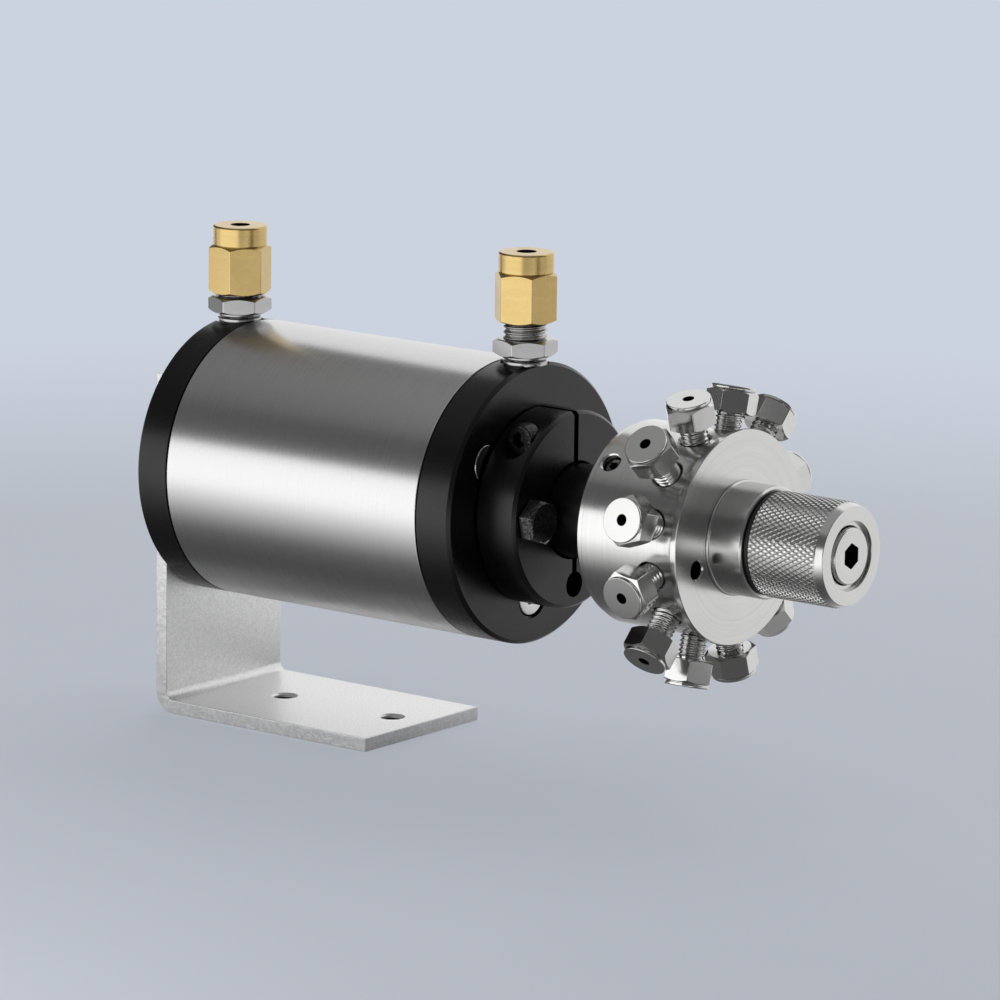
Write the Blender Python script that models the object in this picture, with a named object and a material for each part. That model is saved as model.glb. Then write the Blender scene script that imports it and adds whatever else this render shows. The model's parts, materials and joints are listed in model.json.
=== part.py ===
"""Air-driven rotary valve with a ring of twelve tube ports, as used to inject samples in liquid chromatography.

An air piston slides on three tie rods inside a round cylinder. Two pins in its hub run in helical grooves of the
cam shaft, so one stroke turns the shaft, and the conical rotor that it drives, by one port. The rotor sits in the
taper of the valve body, pressed in by a spring whose load is set by the adjuster in the knurled sleeve.

The origin lies under the bracket's foot, midway between its two holes. +X runs along the valve's axis towards the
knurled sleeve, and +Z is up. All sizes are in metres.
"""

import math

import bmesh
import bpy
from mathutils import Matrix, Vector

# Clearances
SEAT = 0.0003  # between two faces that rest on each other
FIT = 0.0002  # round a piece that stays in its bore
RUN = 0.0001  # round a piece that turns or slides in its bore

# Facets in a full turn
CYLINDER_STEPS = 40
VALVE_STEPS = 36
SHAFT_STEPS = 20
FASTENER_STEPS = 12
HOLE_STEPS = 10
HOLE_PHASE = 0.3  # how far a hole's first corner is turned, in facets, so that none lies on a line of its piece

# Mounting bracket
AXIS_HEIGHT = 0.046
BRACKET_THICKNESS = 0.0025
BRACKET_WIDTH = 0.0324
BRACKET_BEND = 0.0015
LEG_ABOVE_AXIS = 0.0165
FOOT_REACH = 0.0465
FOOT_HOLE_PITCH = 0.025
FOOT_HOLE_EDGE = 0.007
FOOT_HOLE_RADIUS = 0.00225
LEG_SCREW_SPREAD = 0.022
BEND_STEPS = 5

# Cylinder
CYLINDER_RADIUS = 0.025
TUBE_WALL = 0.002
TUBE_LENGTH = 0.0567
REAR_CAP_THICKNESS = 0.0069
FRONT_CAP_THICKNESS = 0.0072
CAP_CHAMFER = 0.0006
TUBE_CHAMFER = 0.0002
SPIGOT_LENGTH = 0.005
SEAL_SECTION = 0.0018
SEAL_STEPS = 24
SEAL_SIDES = 6

# Tie rods, which hold the caps together and guide the piston
ROD_COUNT = 3
ROD_CIRCLE = 0.0165
ROD_FIRST_ANGLE = math.radians(-87)
ROD_RADIUS = 0.002
ROD_HEAD_RADIUS = 0.0035
ROD_HEAD_HEIGHT = 0.004
ROD_HEAD_SINK = 0.0002
ROD_SOCKET = 0.003
ROD_SOCKET_DEPTH = 0.0022
ROD_THREAD_LENGTH = 0.010

# Piston and cam
PORT_COUNT = 12
PISTON_STROKE = 0.015
PISTON_END_GAP = 0.0012
CROWN_THICKNESS = 0.009
HUB_RADIUS = 0.010
PIN_RADIUS = 0.0015
PIN_FROM_HUB_END = 0.006
PIN_COUNT = 2
CAM_RADIUS = 0.006
CAM_GROOVE_DEPTH = 0.0018
CAM_GROOVE_RUNOUT = 0.001
CAM_GROOVE_STEPS = 10
JOURNAL_RADIUS = 0.005
BUSH_WALL = 0.0025
REAR_BUSH_LENGTH = 0.0065
SHAFT_SEAL_LIP = 0.0015
TANG_THICKNESS = 0.002
TANG_WIDTH = 0.0052
TANG_LENGTH = 0.0034

# Clamp ring, which grips the valve's collar
RING_RADIUS = 0.0175
RING_THICKNESS = 0.0082
RING_SLIT = 0.0013
RELIEF_RADIUS = 0.0023
RELIEF_DROP = 0.0133
CLAMP_BOLT_SPREAD = 0.025
CLAMP_BOLT_RADIUS = 0.002
CLAMP_BOLT_GRIP = 0.006
CLAMP_BOLT_FLATS = 0.007
CLAMP_BOLT_HEAD = 0.0028
CLAMP_BOLT_TURN = math.radians(12)
CLAMP_SCREW_RISE = 0.0135
CLAMP_SCREW_RADIUS = 0.0015
CLAMP_SCREW_HEAD_RADIUS = 0.00275
CLAMP_SCREW_HEAD_HEIGHT = 0.003
CLAMP_SCREW_SOCKET = 0.0025
COLLAR_RADIUS = 0.0083
COLLAR_SHOWING = 0.013
COLLAR_SPIGOT_RADIUS = 0.0069
COLLAR_SPIGOT_LENGTH = 0.0048

# Valve body
BODY_RADIUS = 0.0179
BODY_LENGTH = 0.02257
REAR_BAND_RADIUS = 0.0173
REAR_BAND_LENGTH = 0.0016
FLANGE_RADIUS = 0.01873
FLANGE_THICKNESS = 0.0012
COVE_LENGTH = 0.0022
PORT_PLANE = 0.0163  # from the body's rear face
PORT_PASSAGE_RADIUS = 0.0005
PORT_SEAT_FLOOR = 0.0086  # distances from the valve's axis
PORT_THREAD_FLOOR = 0.0110
SPANNER_HOLE_CIRCLE = 0.013
SPANNER_HOLE_RADIUS = 0.0016
SPANNER_HOLE_DEPTH = 0.0026
SPANNER_HOLE_ANGLE = math.radians(-17)
SET_SCREW_RADIUS = 0.0015
SET_SCREW_ANGLE = math.radians(45)
SET_SCREW_FROM_REAR = 0.0041
SET_SCREW_SINK = 0.0012

# Port nuts, port 1 to port 12: how far each one stands out from its usual place, and how far its hexagon is turned
PORT_FIRST_ANGLE = math.radians(73.65)
PORT_NUT_PROUD = (
    -0.0009, 0.0003, 0.0, 0.0, 0.0006, 0.0004, 0.0008, 0.0004, 0.0, -0.0009, 0.0005, -0.0008,
)
PORT_NUT_TURNS = tuple(math.radians(turn) for turn in (28, 58, 37, 34, 31, 42, 33, 50, 14, 12, 57, 30))
PORT_NUT_FACE = 0.0264  # distances from the valve's axis
PORT_NUT_TIP = 0.0103
PORT_NUT_FLATS = 0.008
PORT_NUT_HEX = 0.0041
PORT_NUT_RIM = 0.0007
PORT_NUT_RIM_RADIUS = 0.003875
PORT_NUT_SHANK_RADIUS = 0.0024
PORT_NUT_BORE_RADIUS = 0.000925
FERRULE_LENGTH = 0.0018
FERRULE_TIP_RADIUS = 0.0011

# Rotor
TAPER_LENGTH = 0.0112
TAPER_SMALL_RADIUS = 0.0036
TAPER_LARGE_RADIUS = 0.0051
ROTOR_STEM_RADIUS = 0.003
ROTOR_STEM_GAP = 0.00067
ROTOR_SLOT_DEPTH = 0.003
ROTOR_GROOVE_DEPTH = 0.0004
ROTOR_GROOVE_WIDTH = 0.0006
ROTOR_GROOVE_STEPS = 4

# Preload assembly in the nose
NOSE_RADIUS = 0.0098
NOSE_LENGTH = 0.0068
NOSE_CHAMFER = 0.0003
STUB_RADIUS = 0.0068
STUB_LENGTH = 0.0097
RECESS_DEPTH = 0.0026
PRELOAD_BORE_RADIUS = 0.0056
KEY_WIDTH = 0.0015
KEY_HEIGHT = 0.0005
GAP_RING_RADIUS = 0.0090
GAP_RING_THICKNESS = 0.0006
SLEEVE_RADIUS = 0.0092
SLEEVE_LENGTH = 0.0152
SLEEVE_CHAMFER = 0.0006
SLEEVE_CHAMFER_LENGTH = 0.0012
SLEEVE_RECESS_RADIUS = 0.006
SLEEVE_RECESS_DEPTH = 0.0009
ADJUSTER_RADIUS = 0.00495
ADJUSTER_FLANGE_THICKNESS = 0.0014
ADJUSTER_STEM_RADIUS = 0.002
ADJUSTER_STEM_LENGTH = 0.0098
ADJUSTER_SOCKET = 0.004
ADJUSTER_SOCKET_DEPTH = 0.004
PLUNGER_THICKNESS = 0.0018
PLUNGER_PIN_RADIUS = 0.0024
PLUNGER_PIN_LENGTH = 0.0048
SEAT_NUT_THICKNESS = 0.0026
SPRING_LENGTH = 0.0101
SPRING_WIRE_RADIUS = 0.00055
SPRING_COIL_RADIUS = 0.0046
SPRING_TURNS = 5
SPRING_STEPS_PER_TURN = 10

# Air fittings
AIR_COLLAR_RADIUS = 0.0039
AIR_REAR_EDGE = 0.0038  # from the cap's shoulder to each fitting's axis
AIR_FRONT_EDGE = 0.0042
AIR_SPOTFACE_HEIGHT = 0.0244  # heights above the valve's axis
AIR_SPOTFACE_RADIUS = 0.0044
AIR_WASHER_THICKNESS = 0.0008
AIR_WASHER_RADIUS = 0.00395
AIR_COLLAR_HEIGHT = 0.0006
AIR_HEX = 0.010
AIR_HEX_HEIGHT = 0.003
AIR_THREAD_RADIUS = 0.0039
AIR_THREAD_LENGTH = 0.0078
AIR_STUB_RADIUS = 0.0024
AIR_STUB_LENGTH = 0.005
AIR_TUBE_RADIUS = 0.00165
AIR_PASSAGE_RADIUS = 0.001
AIR_PASSAGE_HEIGHT = 0.0175
AIR_NUT_HEX_HEIGHT = 0.0088
AIR_NUT_RIM_HEIGHT = 0.0036
AIR_NUT_RIM_RADIUS = 0.004875
AIR_REAR_NUT_GAP = 0.0005
AIR_FRONT_NUT_GAP = 0.0029
AIR_REAR_NUT_TURN = math.radians(-8.9)
AIR_FRONT_NUT_TURN = math.radians(-41.7)
AIR_REAR_HEX_TURN = math.radians(-22.0)
AIR_FRONT_HEX_TURN = math.radians(-16.7)
AIR_FERRULE_LENGTH = 0.0035

X_AXIS = Vector((1.0, 0.0, 0.0))
Y_AXIS = Vector((0.0, 1.0, 0.0))
Z_AXIS = Vector((0.0, 0.0, 1.0))

# Stations along the valve's axis, from the bracket's leg to the end of the sleeve
LEG_FACE_X = FOOT_HOLE_PITCH / 2 + FOOT_HOLE_EDGE - FOOT_REACH
REAR_CAP_X = LEG_FACE_X + SEAT
TUBE_X = REAR_CAP_X + REAR_CAP_THICKNESS + SEAT
FRONT_SHOULDER_X = TUBE_X + TUBE_LENGTH + SEAT
FRONT_FACE_X = FRONT_SHOULDER_X + FRONT_CAP_THICKNESS
RING_X = FRONT_FACE_X + SEAT
BODY_X = RING_X + RING_THICKNESS + COLLAR_SHOWING
BODY_FRONT_X = BODY_X + BODY_LENGTH
NOSE_X = BODY_FRONT_X + SEAT
GAP_RING_X = NOSE_X + NOSE_LENGTH + FIT
SLEEVE_X = GAP_RING_X + GAP_RING_THICKNESS + FIT
SLEEVE_END_X = SLEEVE_X + SLEEVE_LENGTH

# Inside the cylinder
BORE_RADIUS = CYLINDER_RADIUS - TUBE_WALL
SPIGOT_RADIUS = BORE_RADIUS - FIT
CHAMBER_REAR_X = REAR_CAP_X + REAR_CAP_THICKNESS + SPIGOT_LENGTH
CHAMBER_FRONT_X = FRONT_SHOULDER_X - SPIGOT_LENGTH
SEAL_GROOVE_WIDTH = SEAL_SECTION + 2 * SEAT
SEAL_GROOVE_RADIUS = BORE_RADIUS - SEAL_SECTION - 2 * FIT
PISTON_X = CHAMBER_REAR_X + PISTON_END_GAP
HUB_LENGTH = CHAMBER_FRONT_X - PISTON_X - PISTON_END_GAP - PISTON_STROKE - CROWN_THICKNESS
PISTON_LENGTH = CROWN_THICKNESS + HUB_LENGTH
PIN_X = PISTON_X + PISTON_LENGTH - PIN_FROM_HUB_END
BUSH_RADIUS = JOURNAL_RADIUS + RUN + BUSH_WALL
BUSH_BORE_RADIUS = BUSH_RADIUS + FIT
SEAL_POCKET_X = CHAMBER_FRONT_X + SHAFT_SEAL_LIP
FRONT_BUSH_X = SEAL_POCKET_X + SEAL_SECTION + 2 * SEAT
CAM_GROOVE_TWIST = math.tau / PORT_COUNT / PISTON_STROKE  # radians for each metre along the shaft

# Inside the valve body
COLLAR_POCKET_DEPTH = COLLAR_SPIGOT_LENGTH + 2 * SEAT
RECESS_X = BODY_FRONT_X - RECESS_DEPTH
TAPER_X = RECESS_X - TAPER_LENGTH
SHAFT_END_X = BODY_X + COLLAR_SPIGOT_LENGTH + FIT
ROTOR_STEM_LENGTH = TAPER_X - SHAFT_END_X - ROTOR_STEM_GAP
PORT_X = BODY_X + PORT_PLANE
TAPER_SLOPE = (TAPER_LARGE_RADIUS - TAPER_SMALL_RADIUS) / TAPER_LENGTH

# Inside the nose
PLUNGER_X = RECESS_X + RUN
SPRING_X = PLUNGER_X + PLUNGER_THICKNESS + FIT
SEAT_NUT_X = SPRING_X + SPRING_LENGTH + FIT
STUB_END_X = NOSE_X + NOSE_LENGTH + STUB_LENGTH
ADJUSTER_X = STUB_END_X + SEAT
SLEEVE_STEP_X = ADJUSTER_X + ADJUSTER_FLANGE_THICKNESS + SEAT

# Colour, roughness and metallic value of each finish
FINISHES = {
    "brushed_stainless": ((0.60, 0.60, 0.60), 0.32, 1.0),
    "turned_stainless": ((0.64, 0.64, 0.64), 0.22, 1.0),
    "nickel_plate": ((0.68, 0.68, 0.67), 0.18, 1.0),
    "black_anodised": ((0.012, 0.012, 0.013), 0.38, 0.0),
    "satin_brass": ((0.72, 0.53, 0.26), 0.30, 1.0),
    "grained_silver": ((0.66, 0.67, 0.68), 0.50, 1.0),
    "dark_steel": ((0.22, 0.22, 0.22), 0.40, 1.0),
    "piston_aluminium": ((0.70, 0.71, 0.72), 0.35, 1.0),
    "bush_bronze": ((0.50, 0.36, 0.20), 0.40, 1.0),
    "black_rubber": ((0.015, 0.015, 0.015), 0.60, 0.0),
    "rotor_polymer": ((0.16, 0.14, 0.12), 0.45, 0.0),
    "spring_steel": ((0.45, 0.45, 0.46), 0.30, 1.0),
}


def clear_scene():
    for existing in list(bpy.data.objects):
        bpy.data.objects.remove(existing, do_unlink=True)


def finish_material(finish):
    """The finish's material, made the first time that a piece asks for it."""
    material = bpy.data.materials.get(finish)
    if material is None:
        colour, roughness, metallic = FINISHES[finish]
        material = bpy.data.materials.new(finish)
        material.use_nodes = True
        shader = material.node_tree.nodes["Principled BSDF"]
        shader.inputs["Base Color"].default_value = (*colour, 1.0)
        shader.inputs["Roughness"].default_value = roughness
        shader.inputs["Metallic"].default_value = metallic
    return material


def on_axis(x):
    return Vector((x, 0.0, AXIS_HEIGHT))


def outward(angle):
    """The direction at an angle round the valve's axis, counted from the near side, -Y, up towards +Z."""
    return Vector((0.0, -math.cos(angle), math.sin(angle)))


def place(obj, location, direction=X_AXIS, turn=0.0):
    """Puts a piece that was made along its own X axis at a point, along a direction, turned about itself."""
    aim = X_AXIS.rotation_difference(direction).to_matrix() @ Matrix.Rotation(turn, 3, "X")
    obj.location = location
    obj.rotation_euler = aim.to_euler()
    return obj


def add_object(name, shape, finish=None):
    """Makes the object of a bmesh. Without a finish it is a cutter, which isn't rendered."""
    bmesh.ops.recalc_face_normals(shape, faces=shape.faces)
    mesh = bpy.data.meshes.new(name)
    shape.to_mesh(mesh)
    shape.free()
    mesh.shade_smooth()
    mesh.set_sharp_from_angle(angle=math.radians(30))
    obj = bpy.data.objects.new(name, mesh)
    bpy.context.scene.collection.objects.link(obj)
    if finish is None:
        obj.hide_render = True
        obj.display_type = "WIRE"
    else:
        mesh.materials.append(finish_material(finish))
    return obj


def turned(name, outline, finish=None, steps=HOLE_STEPS, phase=0.0):
    """A piece turned about its own X axis from (x, radius) points. The outline is a closed loop if it keeps clear
    of the axis, and otherwise it starts and ends on it. Its first corner lies at the phase, counted from +Z."""
    shape = bmesh.new()
    points = [shape.verts.new((x, 0.0, radius)) for x, radius in outline]
    for start, end in zip(points, points[1:]):
        shape.edges.new((start, end))
    if min(radius for _, radius in outline) > 0:
        shape.edges.new((points[-1], points[0]))
    bmesh.ops.spin(
        shape, geom=shape.verts[:] + shape.edges[:], axis=X_AXIS, angle=math.tau, steps=steps, use_merge=True,
    )
    bmesh.ops.remove_doubles(shape, verts=shape.verts, dist=1e-7)
    bmesh.ops.rotate(shape, matrix=Matrix.Rotation(phase, 3, "X"), verts=shape.verts)
    return add_object(name, shape, finish)


def drill(name, outline, steps=HOLE_STEPS):
    """A cutter for a round hole or bore."""
    return turned(name, outline, steps=steps, phase=HOLE_PHASE * math.tau / steps)


def rod(start, end, radius):
    """The outline of a plain round rod."""
    return [(start, 0.0), (start, radius), (end, radius), (end, 0.0)]


def tube(start, end, inner, outer):
    """The outline of a plain round tube."""
    return [(start, inner), (start, outer), (end, outer), (end, inner)]


def box(name, low, high):
    """A box-shaped cutter between two corners."""
    shape = bmesh.new()
    bmesh.ops.create_cube(shape, size=1.0)
    size = Vector(high) - Vector(low)
    bmesh.ops.scale(shape, vec=size, verts=shape.verts)
    bmesh.ops.translate(shape, vec=Vector(low) + size / 2, verts=shape.verts)
    return add_object(name, shape)


def cut(piece, cutter, operation="DIFFERENCE"):
    boolean = piece.modifiers.new(cutter.name, "BOOLEAN")
    boolean.operation = operation
    boolean.solver = "EXACT"
    boolean.object = cutter


def trim_to_hexagon(piece, start, end, flats):
    """Cuts a round blank to a hexagon between two places on its own X axis, and leaves its slimmer parts round."""
    corner = flats / math.sqrt(3)
    trimmer = turned(piece.name + "_flats", tube(start, end, corner, 3 * corner), steps=6)
    trimmer.parent = piece
    cut(piece, trimmer)


def broach_hexagon(piece, start, end, flats):
    """Sinks a hexagon socket into a piece along its own X axis."""
    broach = turned(piece.name + "_socket", rod(start, end, flats / math.sqrt(3)), steps=6)
    broach.parent = piece
    cut(piece, broach)


def hexagon_blank(start, end, flats):
    """The part of an outline that a hexagon is trimmed from, with both of its ends chamfered."""
    corner = 1.04 * flats / math.sqrt(3)
    edge = 0.95 * flats / 2
    drop = (corner - edge) * math.tan(math.radians(30))
    return [(start, edge), (start + drop, corner), (end - drop, corner), (end, edge)]


def rod_place(index):
    """A tie rod's direction from the valve's axis."""
    return outward(ROD_FIRST_ANGLE + index * math.tau / ROD_COUNT) * ROD_CIRCLE


def make_bracket():
    """One strip of plate bent to a leg and a foot, with a round bend between them."""
    shape = bmesh.new()
    outer = BRACKET_BEND + BRACKET_THICKNESS
    leg_back = LEG_FACE_X - BRACKET_THICKNESS
    leg_top = AXIS_HEIGHT + LEG_ABOVE_AXIS
    foot_end = LEG_FACE_X + FOOT_REACH
    centre_x = leg_back + outer
    outline = [(foot_end, 0.0), (foot_end, BRACKET_THICKNESS)]
    for radius, order in ((BRACKET_BEND, 1), (outer, -1)):
        quarter = [math.radians(180 + 90 * step / BEND_STEPS) for step in range(BEND_STEPS + 1)]
        bend = [(centre_x + radius * math.cos(a), outer + radius * math.sin(a)) for a in quarter]
        if order > 0:
            outline += bend[::-1] + [(LEG_FACE_X, leg_top), (leg_back, leg_top)]
        else:
            outline += bend
    corners = [shape.verts.new((x, -BRACKET_WIDTH / 2, z)) for x, z in outline]
    face = shape.faces.new(corners)
    grown = bmesh.ops.extrude_face_region(shape, geom=[face])["geom"]
    moved = [item for item in grown if isinstance(item, bmesh.types.BMVert)]
    bmesh.ops.translate(shape, vec=(0.0, BRACKET_WIDTH, 0.0), verts=moved)
    bracket = add_object("mounting_bracket", shape, "grained_silver")
    for side in (-1, 1):
        foot_hole = drill(f"foot_hole_{side}", rod(-outer, 2 * outer, FOOT_HOLE_RADIUS))
        place(foot_hole, (side * FOOT_HOLE_PITCH / 2, 0.0, 0.0), Z_AXIS)
        cut(bracket, foot_hole)
        leg_hole = drill(f"leg_hole_{side}", rod(-outer, 2 * outer, ROD_RADIUS + FIT))
        place(leg_hole, (leg_back, side * LEG_SCREW_SPREAD / 2, AXIS_HEIGHT))
        cut(bracket, leg_hole)
    return bracket


def cap_screw(name, grip, radius, head_radius, head_height, socket, socket_depth, finish):
    """A socket head screw along +X: its head lies before x = 0 and its shank runs to x = grip."""
    outline = [
        (-head_height, 0.0),
        (-head_height, head_radius),
        (0.0, head_radius),
        (0.0, radius),
        (grip, radius),
        (grip, 0.0),
    ]
    screw = turned(name, outline, finish, FASTENER_STEPS)
    broach_hexagon(screw, -head_height - SEAT, -head_height + socket_depth, socket)
    return screw


def make_bracket_screws():
    """Two screws from behind the bracket's leg into the rear cap."""
    grip = BRACKET_THICKNESS + REAR_CAP_THICKNESS / 2 + SEAT
    for number, side in ((1, -1), (2, 1)):
        screw = cap_screw(
            f"bracket_screw_{number}", grip, ROD_RADIUS, ROD_HEAD_RADIUS, 0.6 * ROD_HEAD_HEIGHT,
            0.8 * ROD_SOCKET, 0.6 * ROD_SOCKET_DEPTH, "dark_steel",
        )
        place(screw, (LEG_FACE_X - BRACKET_THICKNESS - SEAT, side * LEG_SCREW_SPREAD / 2, AXIS_HEIGHT))


def spigot_outline(shoulder, end):
    """The part of a cap that enters the tube: from the shoulder's radius to the spigot's end, with its seal groove."""
    way = 1 if end > shoulder else -1
    middle = (shoulder + end) / 2
    groove = way * SEAL_GROOVE_WIDTH / 2
    return [
        (shoulder, SPIGOT_RADIUS),
        (middle - groove, SPIGOT_RADIUS),
        (middle - groove, SEAL_GROOVE_RADIUS),
        (middle + groove, SEAL_GROOVE_RADIUS),
        (middle + groove, SPIGOT_RADIUS),
        (end, SPIGOT_RADIUS),
    ]


def air_place(end):
    """Where the axis of the rear or the front air fitting meets the valve's axis."""
    if end == "rear":
        return on_axis(REAR_CAP_X + REAR_CAP_THICKNESS - AIR_REAR_EDGE)
    return on_axis(FRONT_SHOULDER_X + AIR_FRONT_EDGE)


def cut_air_port(cap, end, chamber_x):
    """A flat seat and a threaded pocket on top of a cap, and the passage from there to the chamber."""
    pocket_radius = AIR_STUB_RADIUS + FIT
    floor = AIR_PASSAGE_HEIGHT - 2 * AIR_PASSAGE_RADIUS
    outline = [
        (floor, 0.0),
        (floor, pocket_radius),
        (AIR_SPOTFACE_HEIGHT, pocket_radius),
        (AIR_SPOTFACE_HEIGHT, AIR_SPOTFACE_RADIUS),
        (2 * AIR_SPOTFACE_HEIGHT, AIR_SPOTFACE_RADIUS),
        (2 * AIR_SPOTFACE_HEIGHT, 0.0),
    ]
    pocket = drill(f"{end}_air_pocket", outline, FASTENER_STEPS)
    place(pocket, air_place(end), Z_AXIS)
    cut(cap, pocket)
    start = air_place(end) + Z_AXIS * AIR_PASSAGE_HEIGHT
    reach = chamber_x - start.x
    reach += math.copysign(SPIGOT_LENGTH, reach)
    passage = drill(f"{end}_air_passage", rod(min(0.0, reach), max(0.0, reach), AIR_PASSAGE_RADIUS))
    place(passage, start)
    cut(cap, passage)


def make_rear_cap():
    shoulder = REAR_CAP_THICKNESS
    end = shoulder + SPIGOT_LENGTH
    bush_floor = end - REAR_BUSH_LENGTH - 2 * SEAT
    outline = [
        (0.0, 0.0),
        (0.0, CYLINDER_RADIUS - CAP_CHAMFER),
        (CAP_CHAMFER, CYLINDER_RADIUS),
        (shoulder - TUBE_CHAMFER, CYLINDER_RADIUS),
        (shoulder, CYLINDER_RADIUS - TUBE_CHAMFER),
        *spigot_outline(shoulder, end),
        (end, 0.0),
    ]
    cap = place(turned("rear_cap", outline, "black_anodised", CYLINDER_STEPS), on_axis(REAR_CAP_X))
    pocket = drill("rear_bush_pocket", rod(bush_floor, 2 * end, BUSH_BORE_RADIUS), SHAFT_STEPS)
    cut(cap, place(pocket, on_axis(REAR_CAP_X)))
    for index in range(ROD_COUNT):
        thread = drill(f"rear_rod_thread_{index + 1}", rod(-ROD_THREAD_LENGTH, end, ROD_RADIUS + FIT))
        place(thread, on_axis(CHAMBER_REAR_X) + rod_place(index))
        cut(cap, thread)
    for side in (-1, 1):
        depth = REAR_CAP_THICKNESS / 2 + 2 * SEAT
        thread = drill(f"leg_screw_thread_{side}", rod(-depth, depth, ROD_RADIUS + FIT))
        place(thread, on_axis(REAR_CAP_X) + Y_AXIS * side * LEG_SCREW_SPREAD / 2)
        cut(cap, thread)
    cut_air_port(cap, "rear", CHAMBER_REAR_X)
    return cap


def make_tube():
    outline = [
        (0.0, BORE_RADIUS),
        (0.0, CYLINDER_RADIUS - TUBE_CHAMFER),
        (TUBE_CHAMFER, CYLINDER_RADIUS),
        (TUBE_LENGTH - TUBE_CHAMFER, CYLINDER_RADIUS),
        (TUBE_LENGTH, CYLINDER_RADIUS - TUBE_CHAMFER),
        (TUBE_LENGTH, BORE_RADIUS),
    ]
    place(turned("cylinder_tube", outline, "brushed_stainless", CYLINDER_STEPS), on_axis(TUBE_X))


def make_front_cap():
    """The cap that carries the shaft's bush and seal, the tie rods' heads and the clamp ring."""
    spigot = CHAMBER_FRONT_X - FRONT_FACE_X
    shoulder = FRONT_SHOULDER_X - FRONT_FACE_X
    pocket = SEAL_POCKET_X - FRONT_FACE_X
    outline = [
        (spigot, 0.0),
        *spigot_outline(shoulder, spigot)[::-1],
        (shoulder, CYLINDER_RADIUS - TUBE_CHAMFER),
        (shoulder + TUBE_CHAMFER, CYLINDER_RADIUS),
        (-CAP_CHAMFER, CYLINDER_RADIUS),
        (0.0, CYLINDER_RADIUS - CAP_CHAMFER),
        (0.0, 0.0),
    ]
    cap = place(turned("front_cap", outline, "black_anodised", CYLINDER_STEPS), on_axis(FRONT_FACE_X))
    shaft_way = [
        (2 * spigot, 0.0),
        (2 * spigot, JOURNAL_RADIUS + SEAT),
        (pocket, JOURNAL_RADIUS + SEAT),
        (pocket, BUSH_BORE_RADIUS),
        (-spigot, BUSH_BORE_RADIUS),
        (-spigot, 0.0),
    ]
    cut(cap, place(drill("shaft_way", shaft_way, SHAFT_STEPS), on_axis(FRONT_FACE_X)))
    sink = ROD_HEAD_HEIGHT + ROD_HEAD_SINK + SEAT
    counterbore = [
        (2 * spigot, 0.0),
        (2 * spigot, ROD_RADIUS + FIT),
        (-sink, ROD_RADIUS + FIT),
        (-sink, ROD_HEAD_RADIUS + FIT),
        (sink, ROD_HEAD_RADIUS + FIT),
        (sink, 0.0),
    ]
    for index in range(ROD_COUNT):
        hole = drill(f"front_rod_hole_{index + 1}", counterbore, FASTENER_STEPS)
        place(hole, on_axis(FRONT_FACE_X) + rod_place(index))
        cut(cap, hole)
    for side in (-1, 1):
        thread = drill(f"clamp_bolt_thread_{side}", rod(-CLAMP_BOLT_GRIP, SEAT, CLAMP_BOLT_RADIUS + FIT))
        place(thread, on_axis(FRONT_FACE_X) + Y_AXIS * side * CLAMP_BOLT_SPREAD / 2)
        cut(cap, thread)
    cut_air_port(cap, "front", CHAMBER_FRONT_X)
    return cap


def make_tie_rods():
    """Long socket head screws from the front cap, through the piston, into the rear cap."""
    head_floor = FRONT_FACE_X - ROD_HEAD_SINK - ROD_HEAD_HEIGHT
    grip = head_floor - CHAMBER_REAR_X + ROD_THREAD_LENGTH - 2 * SEAT
    for index in range(ROD_COUNT):
        tie_rod = cap_screw(
            f"tie_rod_{index + 1}", grip, ROD_RADIUS, ROD_HEAD_RADIUS, ROD_HEAD_HEIGHT,
            ROD_SOCKET, ROD_SOCKET_DEPTH, "nickel_plate",
        )
        place(tie_rod, on_axis(head_floor) + rod_place(index), -X_AXIS)


def seal_ring(name, centre_x, inner, outer, steps=SEAL_STEPS):
    """A rubber ring of round section that fills the space between two radii."""
    section = (outer - inner) / 2 - FIT
    middle = (outer + inner) / 2
    outline = []
    for side in range(SEAL_SIDES):
        angle = math.tau * (side + 0.5) / SEAL_SIDES
        outline.append((section * math.cos(angle), middle + section * math.sin(angle)))
    place(turned(name, outline, "black_rubber", steps), on_axis(centre_x))


def make_seals():
    half_spigot = SPIGOT_LENGTH / 2
    seal_ring("rear_tube_seal", CHAMBER_REAR_X - half_spigot, SEAL_GROOVE_RADIUS, BORE_RADIUS)
    seal_ring("front_tube_seal", CHAMBER_FRONT_X + half_spigot, SEAL_GROOVE_RADIUS, BORE_RADIUS)
    seal_ring("piston_seal", PISTON_X + CROWN_THICKNESS / 2, SEAL_GROOVE_RADIUS, BORE_RADIUS)
    middle = (SEAL_POCKET_X + FRONT_BUSH_X) / 2
    seal_ring("shaft_seal", middle, JOURNAL_RADIUS, BUSH_BORE_RADIUS, SHAFT_STEPS)


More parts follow.
